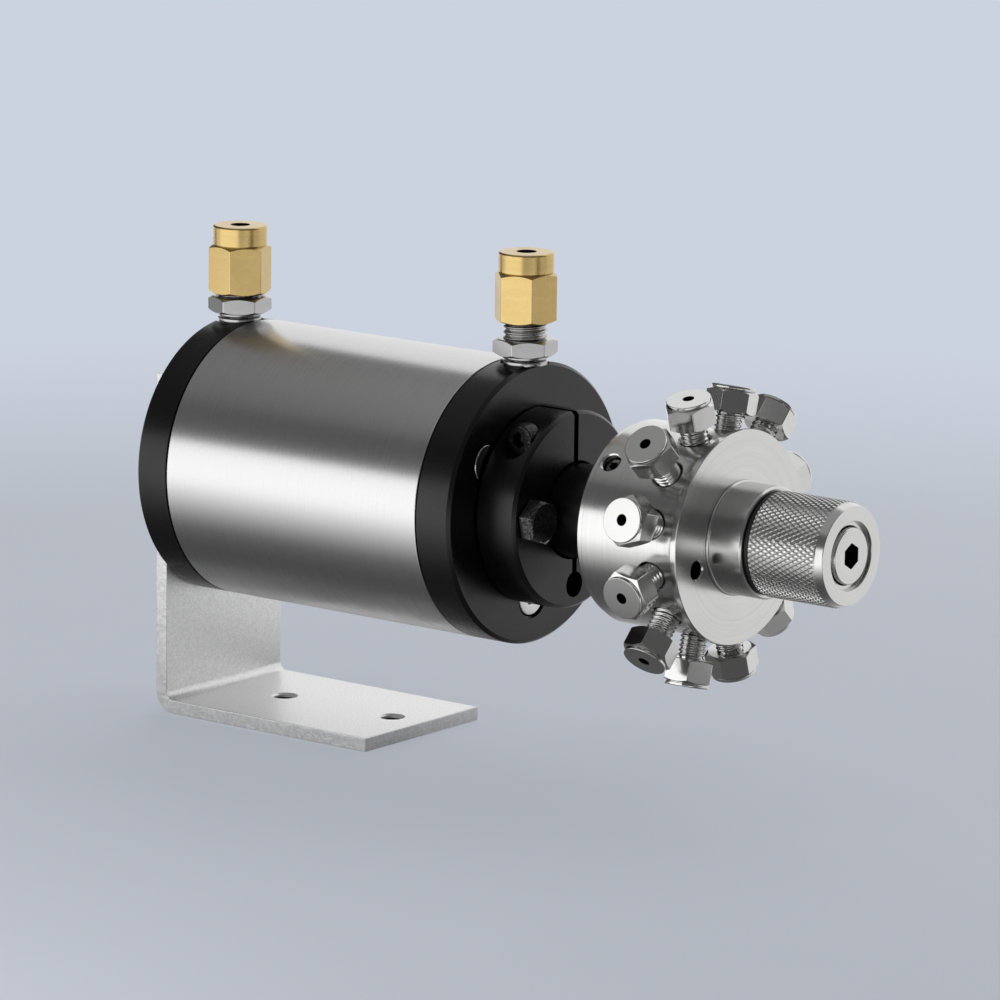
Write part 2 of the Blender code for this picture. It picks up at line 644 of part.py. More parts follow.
def make_piston():
    """A crown with its seal groove, and a hub whose two pins run in the cam shaft's grooves."""
    middle = CROWN_THICKNESS / 2
    groove = SEAL_GROOVE_WIDTH / 2
    crown_radius = BORE_RADIUS - 2 * FIT
    outline = [
        (0.0, 0.0),
        (0.0, crown_radius),
        (middle - groove, crown_radius),
        (middle - groove, SEAL_GROOVE_RADIUS),
        (middle + groove, SEAL_GROOVE_RADIUS),
        (middle + groove, crown_radius),
        (CROWN_THICKNESS, crown_radius),
        (CROWN_THICKNESS, HUB_RADIUS),
        (PISTON_LENGTH, HUB_RADIUS),
        (PISTON_LENGTH, 0.0),
    ]
    piston = place(turned("piston", outline, "piston_aluminium", CYLINDER_STEPS), on_axis(PISTON_X))
    cam_way = rod(-PISTON_LENGTH, 2 * PISTON_LENGTH, CAM_RADIUS + FIT)
    cut(piston, place(drill("cam_way", cam_way, SHAFT_STEPS), on_axis(PISTON_X)))
    for index in range(ROD_COUNT):
        guide = drill(f"piston_guide_{index + 1}", rod(-CROWN_THICKNESS, 2 * CROWN_THICKNESS, ROD_RADIUS + FIT))
        place(guide, on_axis(PISTON_X) + rod_place(index))
        cut(piston, guide)
    for index in range(PIN_COUNT):
        way = outward(index * math.tau / PIN_COUNT)
        hole = drill(f"pin_hole_{index + 1}", rod(CAM_RADIUS / 2, 2 * HUB_RADIUS, PIN_RADIUS + FIT))
        place(hole, on_axis(PIN_X), way)
        cut(piston, hole)
        floor = CAM_RADIUS - CAM_GROOVE_DEPTH + SEAT
        pin = turned(f"cam_pin_{index + 1}", rod(floor, HUB_RADIUS - SEAT, PIN_RADIUS), "dark_steel")
        place(pin, on_axis(PIN_X), way)
    return piston


def helical_groove(name, start_x, angle):
    """A cutter swept along a helix: a bar of the groove's section that turns as it goes along the shaft."""
    half_width = PIN_RADIUS + FIT
    floor = CAM_RADIUS - CAM_GROOVE_DEPTH
    length = PISTON_STROKE + 2 * (PIN_RADIUS + CAM_GROOVE_RUNOUT)
    shape = bmesh.new()
    section = [
        (start_x, side * half_width, radius)
        for side, radius in ((-1, floor), (1, floor), (1, 2 * CAM_RADIUS), (-1, 2 * CAM_RADIUS))
    ]
    face = shape.faces.new([shape.verts.new(corner) for corner in section])
    bmesh.ops.spin(
        shape, geom=[face, *face.edges, *face.verts], axis=X_AXIS, angle=-CAM_GROOVE_TWIST * length,
        dvec=X_AXIS * length / CAM_GROOVE_STEPS, steps=CAM_GROOVE_STEPS,
    )
    return place(add_object(name, shape), on_axis(0.0), X_AXIS, angle)


def make_cam_shaft():
    """Rear journal, cam with its two helical grooves, front journal, and the flat tang that drives the rotor."""
    rear = CHAMBER_REAR_X - REAR_BUSH_LENGTH
    cam_rear = CHAMBER_REAR_X + SEAT
    cam_front = CHAMBER_FRONT_X - SEAT
    outline = [
        (rear, 0.0),
        (rear, JOURNAL_RADIUS),
        (cam_rear, JOURNAL_RADIUS),
        (cam_rear, CAM_RADIUS),
        (cam_front, CAM_RADIUS),
        (cam_front, JOURNAL_RADIUS),
        (SHAFT_END_X, JOURNAL_RADIUS),
        (SHAFT_END_X, 0.0),
    ]
    shaft = place(turned("cam_shaft", outline, "turned_stainless", SHAFT_STEPS), on_axis(0.0))
    half_thickness = TANG_THICKNESS / 2
    half_width = TANG_WIDTH / 2
    tang = box(
        "tang", (SHAFT_END_X - TANG_LENGTH, -half_width, -half_thickness),
        (SHAFT_END_X + TANG_LENGTH, half_width, half_thickness),
    )
    cut(shaft, place(tang, on_axis(0.0)), "UNION")
    groove_start = PIN_X - PIN_RADIUS - CAM_GROOVE_RUNOUT
    lead = CAM_GROOVE_TWIST * (PIN_RADIUS + CAM_GROOVE_RUNOUT)
    for index in range(PIN_COUNT):
        quarter = math.pi / 2
        groove = helical_groove(f"cam_groove_{index + 1}", groove_start, quarter + lead + index * math.tau / PIN_COUNT)
        cut(shaft, groove)
    return shaft


def make_bushes():
    rear = tube(0.0, REAR_BUSH_LENGTH, JOURNAL_RADIUS + RUN, BUSH_RADIUS)
    place(turned("rear_shaft_bush", rear, "bush_bronze", SHAFT_STEPS), on_axis(CHAMBER_REAR_X - REAR_BUSH_LENGTH - FIT))
    front = tube(0.0, FRONT_FACE_X - FRONT_BUSH_X, JOURNAL_RADIUS + RUN, BUSH_RADIUS)
    place(turned("front_shaft_bush", front, "bush_bronze", SHAFT_STEPS), on_axis(FRONT_BUSH_X))


def make_clamp_ring():
    """A split ring: the slit above and the relieved slit below let the screw across the top draw it shut."""
    chamfer = CAP_CHAMFER
    bore = COLLAR_RADIUS + SEAT
    outline = [
        (0.0, bore),
        (0.0, RING_RADIUS),
        (RING_THICKNESS - chamfer, RING_RADIUS),
        (RING_THICKNESS, RING_RADIUS - chamfer),
        (RING_THICKNESS, bore),
    ]
    ring = place(turned("clamp_ring", outline, "black_anodised", VALVE_STEPS), on_axis(RING_X))
    reach = 2 * RING_THICKNESS
    half_slit = RING_SLIT / 2
    top_slit = box("top_slit", (-reach, -half_slit, 0.0), (reach, half_slit, 2 * RING_RADIUS))
    lower_slit = box("lower_slit", (-reach, -half_slit, -RELIEF_DROP), (reach, half_slit, 0.0))
    relief = drill("slit_relief", rod(-reach, reach, RELIEF_RADIUS), FASTENER_STEPS)
    cut(ring, place(top_slit, on_axis(RING_X)))
    cut(ring, place(lower_slit, on_axis(RING_X)))
    cut(ring, place(relief, on_axis(RING_X) - Z_AXIS * RELIEF_DROP))
    for side in (-1, 1):
        hole = drill(f"clamp_bolt_hole_{side}", rod(-reach, reach, CLAMP_BOLT_RADIUS + FIT))
        place(hole, on_axis(RING_X) + Y_AXIS * side * CLAMP_BOLT_SPREAD / 2)
        cut(ring, hole)
    bore_radius = CLAMP_SCREW_RADIUS + FIT
    seat = clamp_screw_floor() + SEAT
    screw_way = [
        (-RING_RADIUS, 0.0),
        (-RING_RADIUS, CLAMP_SCREW_HEAD_RADIUS + FIT),
        (seat, CLAMP_SCREW_HEAD_RADIUS + FIT),
        (seat, bore_radius),
        (-seat, bore_radius),
        (-seat, 0.0),
    ]
    hole = drill("clamp_screw_hole", screw_way, FASTENER_STEPS)
    place(hole, clamp_screw_place(), Y_AXIS)
    cut(ring, hole)


def clamp_screw_place():
    """Where the clamp screw's axis crosses the slit."""
    return on_axis(RING_X + RING_THICKNESS / 2) + Z_AXIS * CLAMP_SCREW_RISE


def clamp_screw_floor():
    """How far before the slit, on Y, the underside of the clamp screw's head lies."""
    half_chord = math.sqrt(RING_RADIUS**2 - CLAMP_SCREW_RISE**2)
    return CLAMP_SCREW_HEAD_HEIGHT - half_chord


def make_clamp_screws():
    """The socket head screw across the slit, and the two hexagon bolts that hold the ring to the front cap."""
    floor = clamp_screw_floor()
    screw = cap_screw(
        "clamp_screw", -2 * floor - 2 * SEAT, CLAMP_SCREW_RADIUS, CLAMP_SCREW_HEAD_RADIUS, CLAMP_SCREW_HEAD_HEIGHT,
        CLAMP_SCREW_SOCKET, ROD_SOCKET_DEPTH, "dark_steel",
    )
    place(screw, clamp_screw_place() + Y_AXIS * floor, Y_AXIS)
    face = RING_X + RING_THICKNESS + FIT
    tip = CLAMP_BOLT_GRIP - SEAT + RING_THICKNESS
    for number, side in ((1, -1), (2, 1)):
        outline = [
            (-tip, 0.0),
            (-tip, CLAMP_BOLT_RADIUS),
            (0.0, CLAMP_BOLT_RADIUS),
            *hexagon_blank(0.0, CLAMP_BOLT_HEAD, CLAMP_BOLT_FLATS),
            (CLAMP_BOLT_HEAD, 0.0),
        ]
        bolt = turned(f"clamp_bolt_{number}", outline, "dark_steel", FASTENER_STEPS)
        trim_to_hexagon(bolt, -SEAT, 2 * CLAMP_BOLT_HEAD, CLAMP_BOLT_FLATS)
        place(bolt, on_axis(face) + Y_AXIS * side * CLAMP_BOLT_SPREAD / 2, X_AXIS, CLAMP_BOLT_TURN)


def make_collar():
    """The black neck that the clamp ring grips. Its spigot is locked in the valve body by a set screw."""
    neck_end = BODY_X - SEAT
    spigot_end = BODY_X + COLLAR_SPIGOT_LENGTH
    bore = JOURNAL_RADIUS + SEAT
    outline = [
        (RING_X, bore),
        (RING_X, COLLAR_RADIUS),
        (neck_end, COLLAR_RADIUS),
        (neck_end, COLLAR_SPIGOT_RADIUS),
        (spigot_end, COLLAR_SPIGOT_RADIUS),
        (spigot_end, bore),
    ]
    place(turned("valve_collar", outline, "black_anodised", SHAFT_STEPS), on_axis(0.0))


def make_valve_body():
    """The round body: a band behind, a cove that flares to the flange, a taper for the rotor and a ring of ports."""
    flange_rear = BODY_LENGTH - FLANGE_THICKNESS
    cove_start = flange_rear - COVE_LENGTH
    chamfer = CAP_CHAMFER
    taper_start = TAPER_X - BODY_X
    recess = RECESS_X - BODY_X
    stem_bore = ROTOR_STEM_RADIUS + SEAT
    recess_radius = STUB_RADIUS + FIT
    cove = [
        (cove_start, BODY_RADIUS),
        (cove_start + COVE_LENGTH / 2, BODY_RADIUS + 0.2 * (FLANGE_RADIUS - BODY_RADIUS)),
        (flange_rear, FLANGE_RADIUS),
    ]
    outline = [
        (0.0, 0.0),
        (0.0, REAR_BAND_RADIUS - chamfer),
        (chamfer, REAR_BAND_RADIUS),
        (REAR_BAND_LENGTH, REAR_BAND_RADIUS),
        (REAR_BAND_LENGTH + TUBE_CHAMFER, BODY_RADIUS),
        *cove,
        (BODY_LENGTH - TUBE_CHAMFER, FLANGE_RADIUS),
        (BODY_LENGTH, FLANGE_RADIUS - TUBE_CHAMFER),
        (BODY_LENGTH, 0.0),
    ]
    body = place(turned("valve_body", outline, "turned_stainless", VALVE_STEPS), on_axis(BODY_X))
    centre_way = [
        (-BODY_LENGTH, 0.0),
        (-BODY_LENGTH, COLLAR_SPIGOT_RADIUS + FIT),
        (COLLAR_POCKET_DEPTH, COLLAR_SPIGOT_RADIUS + FIT),
        (COLLAR_POCKET_DEPTH, stem_bore),
        (taper_start, stem_bore),
        (taper_start, TAPER_SMALL_RADIUS),
        (recess, TAPER_LARGE_RADIUS),
        (recess, recess_radius),
        (2 * BODY_LENGTH, recess_radius),
        (2 * BODY_LENGTH, 0.0),
    ]
    cut(body, place(drill("centre_way", centre_way, SHAFT_STEPS), on_axis(BODY_X)))
    port = [
        (TAPER_SMALL_RADIUS / 2, 0.0),
        (TAPER_SMALL_RADIUS / 2, PORT_PASSAGE_RADIUS),
        (PORT_SEAT_FLOOR, PORT_PASSAGE_RADIUS),
        (PORT_THREAD_FLOOR, PORT_NUT_SHANK_RADIUS + FIT),
        (2 * BODY_RADIUS, PORT_NUT_SHANK_RADIUS + FIT),
        (2 * BODY_RADIUS, 0.0),
    ]
    for index in range(PORT_COUNT):
        cutter = drill(f"port_{index + 1:02d}", port)
        cut(body, place(cutter, on_axis(PORT_X), outward(port_angle(index))))
    for index in range(2):
        way = outward(SPANNER_HOLE_ANGLE + index * math.pi) * SPANNER_HOLE_CIRCLE
        hole = drill(f"spanner_hole_{index + 1}", rod(-SPANNER_HOLE_DEPTH, SEAT, SPANNER_HOLE_RADIUS))
        cut(body, place(hole, on_axis(BODY_FRONT_X) + way))
    screw_hole = drill("set_screw_hole", rod(COLLAR_SPIGOT_RADIUS, 2 * BODY_RADIUS, SET_SCREW_RADIUS + FIT))
    cut(body, place(screw_hole, on_axis(BODY_X + SET_SCREW_FROM_REAR), outward(SET_SCREW_ANGLE)))
    return body


def make_set_screw():
    outer = BODY_RADIUS - SET_SCREW_SINK
    screw = turned("collar_set_screw", rod(COLLAR_SPIGOT_RADIUS + FIT, outer, SET_SCREW_RADIUS), "dark_steel")
    broach_hexagon(screw, outer - SET_SCREW_RADIUS, outer + SEAT, SET_SCREW_RADIUS)
    place(screw, on_axis(BODY_X + SET_SCREW_FROM_REAR), outward(SET_SCREW_ANGLE))


def port_angle(index):
    return PORT_FIRST_ANGLE - index * math.tau / PORT_COUNT


def make_port_nuts():
    """Twelve male nuts round the body, each bored for its tube, with the ferrule on its tip."""
    shoulder = PORT_NUT_TIP + FERRULE_LENGTH
    rim = PORT_NUT_FACE - PORT_NUT_RIM
    underside = rim - PORT_NUT_HEX
    outline = [
        (PORT_NUT_TIP, PORT_NUT_BORE_RADIUS),
        (PORT_NUT_TIP, FERRULE_TIP_RADIUS),
        (shoulder, PORT_NUT_SHANK_RADIUS),
        (underside, PORT_NUT_SHANK_RADIUS),
        *hexagon_blank(underside, rim, PORT_NUT_FLATS),
        (rim, PORT_NUT_RIM_RADIUS),
        (PORT_NUT_FACE, PORT_NUT_RIM_RADIUS),
        (PORT_NUT_FACE, PORT_NUT_BORE_RADIUS),
    ]
    for index, (proud, turn) in enumerate(zip(PORT_NUT_PROUD, PORT_NUT_TURNS)):
        nut = turned(f"port_nut_{index + 1:02d}", outline, "nickel_plate", FASTENER_STEPS)
        trim_to_hexagon(nut, underside - SEAT, rim + SEAT, PORT_NUT_FLATS)
        way = outward(port_angle(index))
        place(nut, on_axis(PORT_X) + way * proud, way, turn)


def make_rotor():
    """The conical rotor: a groove on its face for each pair of ports, and a slot in its stem for the tang."""
    front = TAPER_LENGTH - FIT
    outline = [
        (-ROTOR_STEM_LENGTH, 0.0),
        (-ROTOR_STEM_LENGTH, ROTOR_STEM_RADIUS),
        (RUN, ROTOR_STEM_RADIUS),
        (RUN, TAPER_SMALL_RADIUS - RUN),
        (front, TAPER_SMALL_RADIUS + TAPER_SLOPE * front - RUN),
        (front, 0.0),
    ]
    rotor = place(turned("valve_rotor", outline, "rotor_polymer", SHAFT_STEPS), on_axis(TAPER_X))
    half_slot = TANG_THICKNESS / 2 + FIT
    slot_floor = ROTOR_SLOT_DEPTH + FIT - ROTOR_STEM_LENGTH
    slot = box("rotor_slot", (-TAPER_LENGTH, -TAPER_LENGTH, -half_slot), (slot_floor, TAPER_LENGTH, half_slot))
    cut(rotor, place(slot, on_axis(TAPER_X)))
    surface = TAPER_SMALL_RADIUS + TAPER_SLOPE * (PORT_X - TAPER_X)
    for index in range(0, PORT_COUNT, 2):
        shape = bmesh.new()
        half_width = ROTOR_GROOVE_WIDTH / 2
        section = [
            (side * half_width, 0.0, radius)
            for side, radius in ((-1, surface - ROTOR_GROOVE_DEPTH), (1, surface - ROTOR_GROOVE_DEPTH),
                                 (1, 2 * surface), (-1, 2 * surface))
        ]
        face = shape.faces.new([shape.verts.new(corner) for corner in section])
        bmesh.ops.spin(
            shape, geom=[face, *face.edges, *face.verts], axis=X_AXIS, angle=math.tau / PORT_COUNT,
            steps=ROTOR_GROOVE_STEPS,
        )
        groove = add_object(f"rotor_groove_{index // 2 + 1}", shape)
        turn = math.pi / 2 - port_angle(index)
        cut(rotor, place(groove, on_axis(PORT_X), X_AXIS, turn))
    return rotor


def make_nose():
    """The preload housing: a flange like nose, a stub behind it in the body, and one in front for the sleeve."""
    rear = RECESS_X + FIT
    front = NOSE_X + NOSE_LENGTH
    outline = [
        (rear, PRELOAD_BORE_RADIUS),
        (rear, STUB_RADIUS),
        (NOSE_X, STUB_RADIUS),
        (NOSE_X, NOSE_RADIUS),
        (front - NOSE_CHAMFER, NOSE_RADIUS),
        (front, NOSE_RADIUS - NOSE_CHAMFER),
        (front, STUB_RADIUS),
        (STUB_END_X, STUB_RADIUS),
        (STUB_END_X, PRELOAD_BORE_RADIUS),
    ]
    housing = place(turned("preload_housing", outline, "turned_stainless", VALVE_STEPS), on_axis(0.0))
    half_key = KEY_WIDTH / 2 + FIT
    top = PRELOAD_BORE_RADIUS + KEY_HEIGHT + FIT
    keyway = box("keyway", (NOSE_X, -half_key, 0.0), (SLEEVE_END_X, half_key, top))
    cut(housing, place(keyway, on_axis(0.0)))
    gap_ring = tube(0.0, GAP_RING_THICKNESS, STUB_RADIUS + FIT, GAP_RING_RADIUS)
    place(turned("sleeve_gap_ring", gap_ring, "black_rubber", VALVE_STEPS), on_axis(GAP_RING_X))


def make_sleeve():
    """The knurled sleeve that screws onto the housing's stub and holds the adjuster captive behind its step."""
    step = SLEEVE_STEP_X - SLEEVE_X
    recess = SLEEVE_LENGTH - SLEEVE_RECESS_DEPTH
    stub_bore = STUB_RADIUS + SEAT
    adjuster_bore = ADJUSTER_RADIUS + FIT
    outline = [
        (0.0, 0.0),
        (0.0, SLEEVE_RADIUS),
        (SLEEVE_LENGTH - SLEEVE_CHAMFER_LENGTH, SLEEVE_RADIUS),
        (SLEEVE_LENGTH, SLEEVE_RADIUS - SLEEVE_CHAMFER),
        (SLEEVE_LENGTH, 0.0),
    ]
    sleeve = place(turned("knurled_sleeve", outline, "turned_stainless", VALVE_STEPS), on_axis(SLEEVE_X))
    bore = [
        (-SLEEVE_LENGTH, 0.0),
        (-SLEEVE_LENGTH, stub_bore),
        (step, stub_bore),
        (step, adjuster_bore),
        (recess, adjuster_bore),
        (recess, SLEEVE_RECESS_RADIUS),
        (2 * SLEEVE_LENGTH, SLEEVE_RECESS_RADIUS),
        (2 * SLEEVE_LENGTH, 0.0),
    ]
    cut(sleeve, place(drill("sleeve_bore", bore, SHAFT_STEPS), on_axis(SLEEVE_X)))


def make_adjuster():
    """The preload screw: a stem that drives the seat, a captive flange, and a head with a hexagon socket."""
    flange = STUB_RADIUS - FIT
    head_end = SLEEVE_END_X - ADJUSTER_X
    outline = [
        (-ADJUSTER_STEM_LENGTH, 0.0),
        (-ADJUSTER_STEM_LENGTH, ADJUSTER_STEM_RADIUS),
        (0.0, ADJUSTER_STEM_RADIUS),
        (0.0, flange),
        (ADJUSTER_FLANGE_THICKNESS, flange),
        (ADJUSTER_FLANGE_THICKNESS, ADJUSTER_RADIUS),
        (head_end, ADJUSTER_RADIUS),
        (head_end, 0.0),
    ]
    adjuster = place(turned("preload_adjuster", outline, "turned_stainless", SHAFT_STEPS), on_axis(ADJUSTER_X))
    broach_hexagon(adjuster, head_end - ADJUSTER_SOCKET_DEPTH, head_end + SEAT, ADJUSTER_SOCKET)


def make_preload_stack():
    """What passes the adjuster's push on to the rotor: the keyed seat, the spring and the plunger."""
    plunger = [
        (0.0, 0.0),
        (0.0, PRELOAD_BORE_RADIUS - 2 * FIT),
        (PLUNGER_THICKNESS, PRELOAD_BORE_RADIUS - 2 * FIT),
        (PLUNGER_THICKNESS, PLUNGER_PIN_RADIUS),
        (PLUNGER_THICKNESS + PLUNGER_PIN_LENGTH, PLUNGER_PIN_RADIUS),
        (PLUNGER_THICKNESS + PLUNGER_PIN_LENGTH, 0.0),
    ]
    place(turned("thrust_plunger", plunger, "turned_stainless", SHAFT_STEPS), on_axis(PLUNGER_X))
    seat_radius = PRELOAD_BORE_RADIUS - FIT
    outline = tube(0.0, SEAT_NUT_THICKNESS, ADJUSTER_STEM_RADIUS + FIT, seat_radius)
    seat = place(turned("spring_seat", outline, "turned_stainless", SHAFT_STEPS), on_axis(SEAT_NUT_X))
    half_key = KEY_WIDTH / 2
    key = box(
        "seat_key", (0.0, -half_key, seat_radius / 2), (SEAT_NUT_THICKNESS, half_key, PRELOAD_BORE_RADIUS + KEY_HEIGHT)
    )
    cut(seat, place(key, on_axis(SEAT_NUT_X)), "UNION")


def make_spring():
    """An open coil spring, as a round wire along a helix."""
    curve = bpy.data.curves.new("preload_spring", "CURVE")
    curve.dimensions = "3D"
    curve.bevel_depth = SPRING_WIRE_RADIUS
    curve.bevel_resolution = 0
    curve.use_fill_caps = True
    steps = SPRING_TURNS * SPRING_STEPS_PER_TURN
    start = SPRING_WIRE_RADIUS
    run = SPRING_LENGTH - 2 * SPRING_WIRE_RADIUS
    wire = curve.splines.new("POLY")
    wire.points.add(steps)
    for step, point in enumerate(wire.points):
        angle = math.tau * step / SPRING_STEPS_PER_TURN
        x = start + run * step / steps
        point.co = (x, SPRING_COIL_RADIUS * math.cos(angle), SPRING_COIL_RADIUS * math.sin(angle), 1.0)
    spring = bpy.data.objects.new("preload_spring", curve)
    bpy.context.scene.collection.objects.link(spring)
    curve.materials.append(finish_material("spring_steel"))
    place(spring, on_axis(SPRING_X))


def make_air_fitting(end, hex_turn, nut_gap, nut_turn):
    """A fitting in the top of a cap: sealing washer, hexagon body, ferrule and brass nut."""
    foot = air_place(end) + Z_AXIS * AIR_SPOTFACE_HEIGHT
    washer = tube(FIT, FIT + AIR_WASHER_THICKNESS, AIR_STUB_RADIUS + FIT, AIR_WASHER_RADIUS)
    place(turned(f"{end}_air_washer", washer, "nickel_plate", FASTENER_STEPS), foot, Z_AXIS)
    collar = 2 * FIT + AIR_WASHER_THICKNESS
    hex_start = collar + AIR_COLLAR_HEIGHT
    hex_end = hex_start + AIR_HEX_HEIGHT
    body = [
        (-AIR_STUB_LENGTH, AIR_TUBE_RADIUS),
        (-AIR_STUB_LENGTH, AIR_STUB_RADIUS),
        (collar, AIR_STUB_RADIUS),
        (collar, AIR_COLLAR_RADIUS),
        (hex_start, AIR_COLLAR_RADIUS),
        *hexagon_blank(hex_start, hex_end, AIR_HEX),
        (hex_end, AIR_THREAD_RADIUS),
        (hex_end + AIR_THREAD_LENGTH, AIR_THREAD_RADIUS),
        (hex_end + AIR_THREAD_LENGTH, AIR_TUBE_RADIUS),
    ]
    fitting = turned(f"{end}_air_fitting", body, "nickel_plate", FASTENER_STEPS)
    trim_to_hexagon(fitting, hex_start - SEAT, hex_end + SEAT, AIR_HEX)
    place(fitting, foot, Z_AXIS, hex_turn)
    ferrule_start = hex_end + AIR_THREAD_LENGTH + SEAT
    nut_start = hex_end + nut_gap
    rim_start = nut_start + AIR_NUT_HEX_HEIGHT
    nut_end = rim_start + AIR_NUT_RIM_HEIGHT
    ferrule_end = ferrule_start + AIR_FERRULE_LENGTH - AIR_REAR_NUT_GAP
    ferrule = [
        (ferrule_start, AIR_TUBE_RADIUS),
        (ferrule_start, AIR_THREAD_RADIUS - 2 * SEAT),
        (ferrule_start + AIR_FERRULE_LENGTH / 2, AIR_THREAD_RADIUS - 2 * SEAT),
        (ferrule_end, AIR_TUBE_RADIUS + 2 * SEAT),
        (ferrule_end, AIR_TUBE_RADIUS),
    ]
    place(turned(f"{end}_air_ferrule", ferrule, "satin_brass", FASTENER_STEPS), foot, Z_AXIS)
    thread_bore = AIR_THREAD_RADIUS + SEAT
    cavity_end = ferrule_end + SEAT
    nut = [
        (nut_start, thread_bore),
        *hexagon_blank(nut_start, rim_start, AIR_HEX),
        (rim_start, AIR_NUT_RIM_RADIUS),
        (nut_end, AIR_NUT_RIM_RADIUS),
        (nut_end, AIR_TUBE_RADIUS),
        (cavity_end, AIR_TUBE_RADIUS),
        (cavity_end, AIR_TUBE_RADIUS + 3 * SEAT),
        (ferrule_start + AIR_FERRULE_LENGTH / 2 + SEAT, thread_bore),
    ]
    air_nut = turned(f"{end}_air_nut", nut, "satin_brass", FASTENER_STEPS)
    trim_to_hexagon(air_nut, nut_start - SEAT, rim_start + SEAT, AIR_HEX)
    place(air_nut, foot, Z_AXIS, nut_turn)


def main():
    clear_scene()
    make_bracket()
    make_bracket_screws()
    make_rear_cap()
    make_tube()
    make_front_cap()
    make_tie_rods()
    make_seals()
    make_piston()
    make_cam_shaft()
    make_bushes()
    make_clamp_ring()
    make_clamp_screws()
    make_collar()
    make_valve_body()
    make_set_screw()
    make_port_nuts()
    make_rotor()
    make_nose()
    make_sleeve()
    make_adjuster()
    make_preload_stack()
    make_spring()
    make_air_fitting("rear", AIR_REAR_HEX_TURN, AIR_REAR_NUT_GAP, AIR_REAR_NUT_TURN)
    make_air_fitting("front", AIR_FRONT_HEX_TURN, AIR_FRONT_NUT_GAP, AIR_FRONT_NUT_TURN)


main()
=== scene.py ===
# %% [markdown]
# This lesson dresses an air-driven rotary valve: a black and steel air cylinder on a bent plate, and in
# front of it the round steel valve body with twelve tube nuts, a knurled sleeve and a load adjuster. The
# construction comes first and stays fixed: each rigid part is already there, faceted, at its real size.
# Each part that shows is then modelled again from the same stations, with round edges, threads and
# finishes.

# %% The fixed frame
import json
import math

import bmesh
import bpy
from mathutils import Matrix, Vector


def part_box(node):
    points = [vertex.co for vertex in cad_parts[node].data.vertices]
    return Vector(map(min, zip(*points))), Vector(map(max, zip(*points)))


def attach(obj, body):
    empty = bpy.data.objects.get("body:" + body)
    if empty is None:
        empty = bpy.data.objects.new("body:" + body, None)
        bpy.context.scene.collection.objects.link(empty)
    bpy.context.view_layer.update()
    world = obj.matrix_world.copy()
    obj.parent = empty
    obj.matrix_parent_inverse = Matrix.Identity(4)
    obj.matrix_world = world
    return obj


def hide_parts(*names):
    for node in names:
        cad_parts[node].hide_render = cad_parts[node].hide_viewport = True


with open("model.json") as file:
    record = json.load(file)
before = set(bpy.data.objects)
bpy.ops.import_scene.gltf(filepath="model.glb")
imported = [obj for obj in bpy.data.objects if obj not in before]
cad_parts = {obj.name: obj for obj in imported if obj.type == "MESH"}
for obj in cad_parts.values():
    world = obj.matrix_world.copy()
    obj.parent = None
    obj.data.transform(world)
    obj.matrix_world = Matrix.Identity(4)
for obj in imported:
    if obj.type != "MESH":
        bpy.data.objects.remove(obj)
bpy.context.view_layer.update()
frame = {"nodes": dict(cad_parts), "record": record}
MM = 0.001  # everything below is drawn in millimetres
X_AXIS = Vector((1.0, 0.0, 0.0))
Y_AXIS = Vector((0.0, 1.0, 0.0))
Z_AXIS = Vector((0.0, 0.0, 1.0))
print("parts in the frame:", len(frame["nodes"]))


def corners(node):
    """A part's lowest and highest corner, in millimetres."""
    low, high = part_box(node)
    return low / MM, high / MM


def middle(node):
    low, high = corners(node)
    return (low + high) / 2


def span(node):
    """Where a part starts and ends along the valve's axis."""
    low, high = corners(node)
    return low.x, high.x


# %% [markdown]
# Most parts are turned about one line, the valve's axis, so the stations along it are read off once. The
# height of the axis and the radii come from the same parts, which keeps every new piece on its seat.

# %% Stations along the valve's axis
AXIS_HEIGHT = middle("cylinder_tube").z
SEAT = 0.3  # the small gap between two parts that rest on each other
FIT = 0.2  # the small gap round a part in its bore
CYLINDER_RADIUS = (corners("cylinder_tube")[1].y - corners("cylinder_tube")[0].y) / 2
TUBE_START, TUBE_END = span("cylinder_tube")
REAR_CAP_START, REAR_CAP_END = span("rear_cap")
FRONT_CAP_START, FRONT_CAP_END = span("front_cap")
RING_START, RING_END = span("clamp_ring")
COLLAR_START, COLLAR_END = span("valve_collar")
BODY_START, BODY_END = span("valve_body")
SLEEVE_START, SLEEVE_END = span("knurled_sleeve")
print(f"axis {AXIS_HEIGHT:.1f} mm up, radius {CYLINDER_RADIUS:.1f} mm, sleeve end {SLEEVE_END:.1f} mm")

# %% [markdown]
# The camera stands in front and to the right, a little above the valve, as a product photographer would
# place it. A long lens from more than a metre away keeps the round parts nearly free of perspective.

# %% Camera
VIEW_AZIMUTH = 0.6603984  # radians from -Y towards +X
VIEW_ELEVATION = 0.2020608
VIEW_ROLL = 0.0122882
VIEW_DISTANCE = 1165.341  # from the front cap's face, in millimetres
VIEW_LENS = 238.993
VIEW_ACROSS = -6.45289  # how far the line of sight passes beside and above the middle of the front cap's face
VIEW_UP = 0.58948
VIEW_NEAR, VIEW_FAR = 0.05, 20.0  # what the camera sees, in metres


def into_scene(name, data):
    made = bpy.data.objects.new(name, data)
    bpy.context.scene.collection.objects.link(made)
    return made


